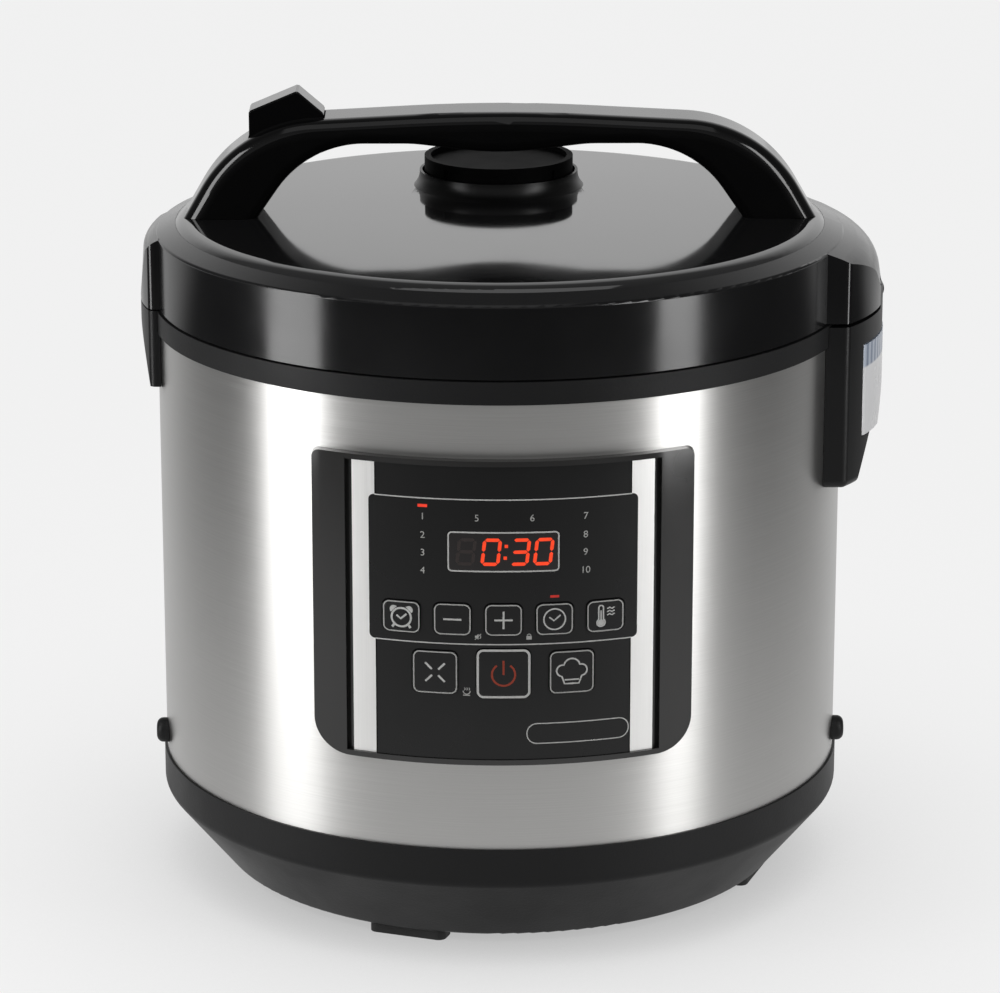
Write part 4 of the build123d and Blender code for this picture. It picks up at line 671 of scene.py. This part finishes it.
def thermometer_sign(x, z):
    middle, bulb_z, top_z, line = x - 1.6, z - 2.4, z + 3.2, 0.5
    bulb_radius, drop_radius, tube_radius = 1.5, 1.2, 0.85
    column_line, column_height = 0.55, 4.4
    wave_rises, wave_height = (2.6, 1.4, 0.2), 0.5
    tube = arc(middle, bulb_z, bulb_radius, *OPEN_TOP, count=16)
    tube += arc(middle, top_z, tube_radius, *TOP_HALF, count=8)
    waves = []
    for low in wave_rises:
        high = low + wave_height
        wave = ((0.6, low), (1.5, high), (2.4, low), (3.3, high))
        waves += stroke([(x + px, z + pz) for px, pz in wave], line)
    filling = dot(middle, bulb_z, drop_radius) + bar(middle, z, column_line, column_height)
    return stroke(tube, line, True) + filling + waves


def cross_sign(x, z, inner=1.6, outer=5.0):
    faces = []
    for angle in (45, 135, 225, 315):
        c, s = math.cos(math.radians(angle)), math.sin(math.radians(angle))
        faces += stroke([(x + r * c, z + r * s) for r in (inner, outer)], SIGN_LINE)
    return faces


def power_sign(x, z, radius=4.2, drop=0.3, bar_rise=2.3, bar_height=5.4):
    circle = stroke(arc(x, z - drop, radius, *OPEN_TOP, count=24), SIGN_LINE)
    return circle + bar(x, z + bar_rise, SIGN_LINE, bar_height)


def hat_sign(x, z):
    puff_x, puff_z, puff_radius = 3.3, z + 0.6, 2.2
    left_puff, right_puff = (100, 262), (-82, 80)
    crown_z, crown_radius, crown = z + 2.2, 2.9, (10, 170)
    brim_x, brim_z, line = 2.6, z - 4.4, 0.6
    band_z, band_width, band_line = z - 2.9, 5.2, 0.55
    outline = arc(x - puff_x, puff_z, puff_radius, *left_puff, count=12)
    outline += [(x - brim_x, brim_z), (x + brim_x, brim_z)]
    outline += arc(x + puff_x, puff_z, puff_radius, *right_puff, count=12)
    outline += arc(x, crown_z, crown_radius, *crown, count=12)
    return stroke(outline, line, True) + bar(x, band_z, band_width, band_line)


key_print("delay", -2 * PITCH, SMALL_Z, SMALL_KEY, alarm_sign)
key_print("minus", -PITCH, SMALL_Z, SMALL_KEY, minus_sign)
key_print("plus", 0.0, SMALL_Z, SMALL_KEY, plus_sign)
key_print("time", PITCH, SMALL_Z, SMALL_KEY, clock_sign)
key_print("temperature", 2 * PITCH, SMALL_Z, SMALL_KEY, thermometer_sign)
key_print("cancel", -LARGE_X, LARGE_Z, LARGE_KEY, cross_sign)
key_print("start", 0.0, LARGE_Z, START_KEY, power_sign, START_LINE, print_white, print_red)
key_print("menu", LARGE_X, LARGE_Z, LARGE_KEY, hat_sign)

# Small signs below and beside the keys: sound off, lock and warmth
SMALL_SIGN_LINE = 0.3
SMALL_SIGN_BAR = 0.35
SMALL_SIGN_Z = SMALL_Z - 6.5
WARM_X = -LARGE_X + 11.4
WARM_Z = LARGE_Z - 6.9


def sound_sign(x, z):
    back, neck, mouth, tall, low = x - 1.1, x - 0.5, x + 0.2, 1.1, 0.4
    wave_radius, wave_angles = 0.8, (-60, 60)
    faces = [((back, z - low), (neck, z - low), (neck, z + low), (back, z + low)),
             ((neck, z - low), (mouth, z - tall), (mouth, z + tall), (neck, z + low))]
    faces += stroke([(back, z - tall), (x + tall, z + tall)], SMALL_SIGN_LINE)
    wave = arc(mouth, z, wave_radius, *wave_angles, count=6)
    return faces + stroke(wave, SMALL_SIGN_LINE)


def lock_sign(x, z, width=1.9, height=1.4, offset=0.4, bow_radius=0.6):
    bow = arc(x, z + offset, bow_radius, *TOP_HALF, count=8)
    return bar(x, z - offset, width, height) + stroke(bow, SMALL_SIGN_BAR)


def warm_sign(x, z, bowl_radius=1.3, bowl_rise=0.1, plate_drop=1.6):
    bowl = arc(x, z + bowl_rise, bowl_radius, *LOWER_HALF, count=10)
    faces = stroke(bowl, SMALL_SIGN_BAR)
    faces += bar(x, z - plate_drop, 2 * bowl_radius, SMALL_SIGN_BAR)
    for left in (-0.8, 0.0, 0.8):
        steam = ((left, 0.3), (left + 0.3, 0.8), (left, 1.3))
        faces += stroke([(x + px, z + pz) for px, pz in steam], SMALL_SIGN_LINE)
    return faces


lay("sign_sound", sound_sign(-PITCH / 2, SMALL_SIGN_Z), FILM_RADIUS, print_grey)
lay("sign_lock", lock_sign(PITCH / 2, SMALL_SIGN_Z), FILM_RADIUS, print_grey)
lay("sign_warm", warm_sign(WARM_X, WARM_Z), FILM_RADIUS, print_grey)


# Stage, in metres: two upright strips of light, a weak box overhead, a pale floor and a dim studio
STRIP_TARGET = (0.0, 0.0, 0.47)
STRIP_DISTANCE = 0.78
STRIP_HEIGHT = 0.92
STRIP_RADIANCE = 6.0
BOX_TARGET = (0.0, 0.0, 0.15)


def area(name, target, azimuth, elevation, distance, width, height, radiance):
    light = bpy.data.lights.new(name, "AREA")
    light.shape = "RECTANGLE"
    light.size = width
    light.size_y = height
    light.energy = radiance * math.pi * width * height
    holder = bpy.data.objects.new(name, light)
    scene.collection.objects.link(holder)
    a, e = math.radians(azimuth), math.radians(elevation)
    away = (math.sin(a) * math.cos(e), -math.cos(a) * math.cos(e), math.sin(e))
    holder.location = [t + d * distance for t, d in zip(target, away)]
    holder.rotation_euler = (math.pi / 2 - e, 0.0, a)


for name, azimuth, width in (("strip_left", -66.5, 0.27), ("strip_right", 55.5, 0.19)):
    area(name, STRIP_TARGET, azimuth, 0.0, STRIP_DISTANCE, width, STRIP_HEIGHT, STRIP_RADIANCE)
area("top_box", BOX_TARGET, azimuth=0.0, elevation=78.0, distance=1.9, width=1.5, height=1.1,
     radiance=0.4)

# Floor: pale to the camera, with a painted shadow that darkens it near the part. In mirrored rays
# it is a bright sheet round the part that fades to the front and the sides, and a second one
# behind across the whole width
FLOOR_HALF = 9
FLOOR_TONE = (0.07, 0.07, 0.07, 1.0)
# Floor brightness to the camera inside the painted shadow and in the open
FLOOR_PAINTED_SHADOW, FLOOR_OPEN = 0.46, 0.85
SHADOW_REACH = 0.22
SHADOW_SAMPLES = 8
SHEET_LIGHT = 0.66
SHEET_SIDES = (0.30, 0.85)
SHEET_FRONT = (-1.05, -0.30)
REAR_LIGHT = 0.6
REAR_START = (0.40, 0.75)

floor_mesh = bpy.data.meshes.new("floor")
floor_mesh.from_pydata([(sx * FLOOR_HALF, sy * FLOOR_HALF, 0)
                        for sx, sy in ((-1, -1), (1, -1), (1, 1), (-1, 1))], [], [(0, 1, 2, 3)])
floor = bpy.data.objects.new("floor", floor_mesh)
scene.collection.objects.link(floor)
floor_material, floor_tree, floor_shader = new_material("floor_pale")
fill(floor_shader, {"Base Color": FLOOR_TONE, "Roughness": 0.9, "Specular IOR Level": 0.1,
                    "Emission Color": (1.0, 1.0, 1.0, 1.0)})
rays = put(floor_tree, "ShaderNodeLightPath").outputs
spot = axes_of(floor_tree, object_coords(floor_tree))
aside = reckon(floor_tree, "ABSOLUTE", spot["X"])
sheet = reckon(floor_tree, "MULTIPLY",
               fade(floor_tree, aside, *SHEET_SIDES, SHEET_LIGHT, 0.0),
               fade(floor_tree, spot["Y"], *SHEET_FRONT, 0.0, 1.0))
sheet = reckon(floor_tree, "MAXIMUM", sheet,
               fade(floor_tree, spot["Y"], *REAR_START, 0.0, REAR_LIGHT))
mirrored = reckon(floor_tree, "ADD", rays["Is Glossy Ray"], rays["Is Transmission Ray"])
# Painted shadow: ambient occlusion darkens the floor's glow near the part
painted_shadow = put(floor_tree, "ShaderNodeAmbientOcclusion", {"Distance": SHADOW_REACH},
             samples=SHADOW_SAMPLES).outputs["AO"]
plain = reckon(floor_tree, "MULTIPLY", rays["Is Camera Ray"],
               fade(floor_tree, painted_shadow, 0.0, 1.0, FLOOR_PAINTED_SHADOW, FLOOR_OPEN))
shown = reckon(floor_tree, "ADD", plain, reckon(floor_tree, "MULTIPLY", mirrored, sheet))
link(floor_tree, shown, floor_shader, "Emission Strength")
floor_mesh.materials.append(floor_material)

# Studio: grey levels from the camera's side (0) to the far side (1)
STUDIO_STOPS = [(0.0, 0.30), (0.25, 0.16), (0.50, 0.08), (0.80, 0.12), (0.92, 0.70), (1.0, 0.95)]

world = bpy.data.worlds.new("studio")
scene.world = world
world.use_nodes = True
sky = world.node_tree
heading = axes_of(sky, put(sky, "ShaderNodeTexCoord").outputs["Generated"])
ramp = put(sky, "ShaderNodeValToRGB")
stops = ramp.color_ramp.elements
for index, (position, grey) in enumerate(STUDIO_STOPS):
    stop = stops[index] if index < len(stops) else stops.new(position)
    stop.position = position
    stop.color = (grey, grey, grey, 1.0)
link(sky, ranged(sky, heading["Y"], -1.0, 1.0), ramp, "Fac")
link(sky, ramp.outputs["Color"], sky.nodes["Background"], "Color")

# Camera at the photograph's angle
CAMERA_PLACE = (-0.0158, -1.5949, 0.609)
CAMERA_DOWN = 16.29
CAMERA_TURN = -0.57

camera_data = bpy.data.cameras.new("camera")
camera_data.sensor_width = 36.0
camera_data.sensor_fit = "HORIZONTAL"
camera_data.lens = 153.8
camera_data.clip_end = 50.0
camera = bpy.data.objects.new("camera", camera_data)
scene.collection.objects.link(camera)
camera.location = CAMERA_PLACE
camera.rotation_euler = (math.radians(90.0 - CAMERA_DOWN), 0.0, math.radians(CAMERA_TURN))
scene.camera = camera

scene.view_settings.view_transform = "Standard"
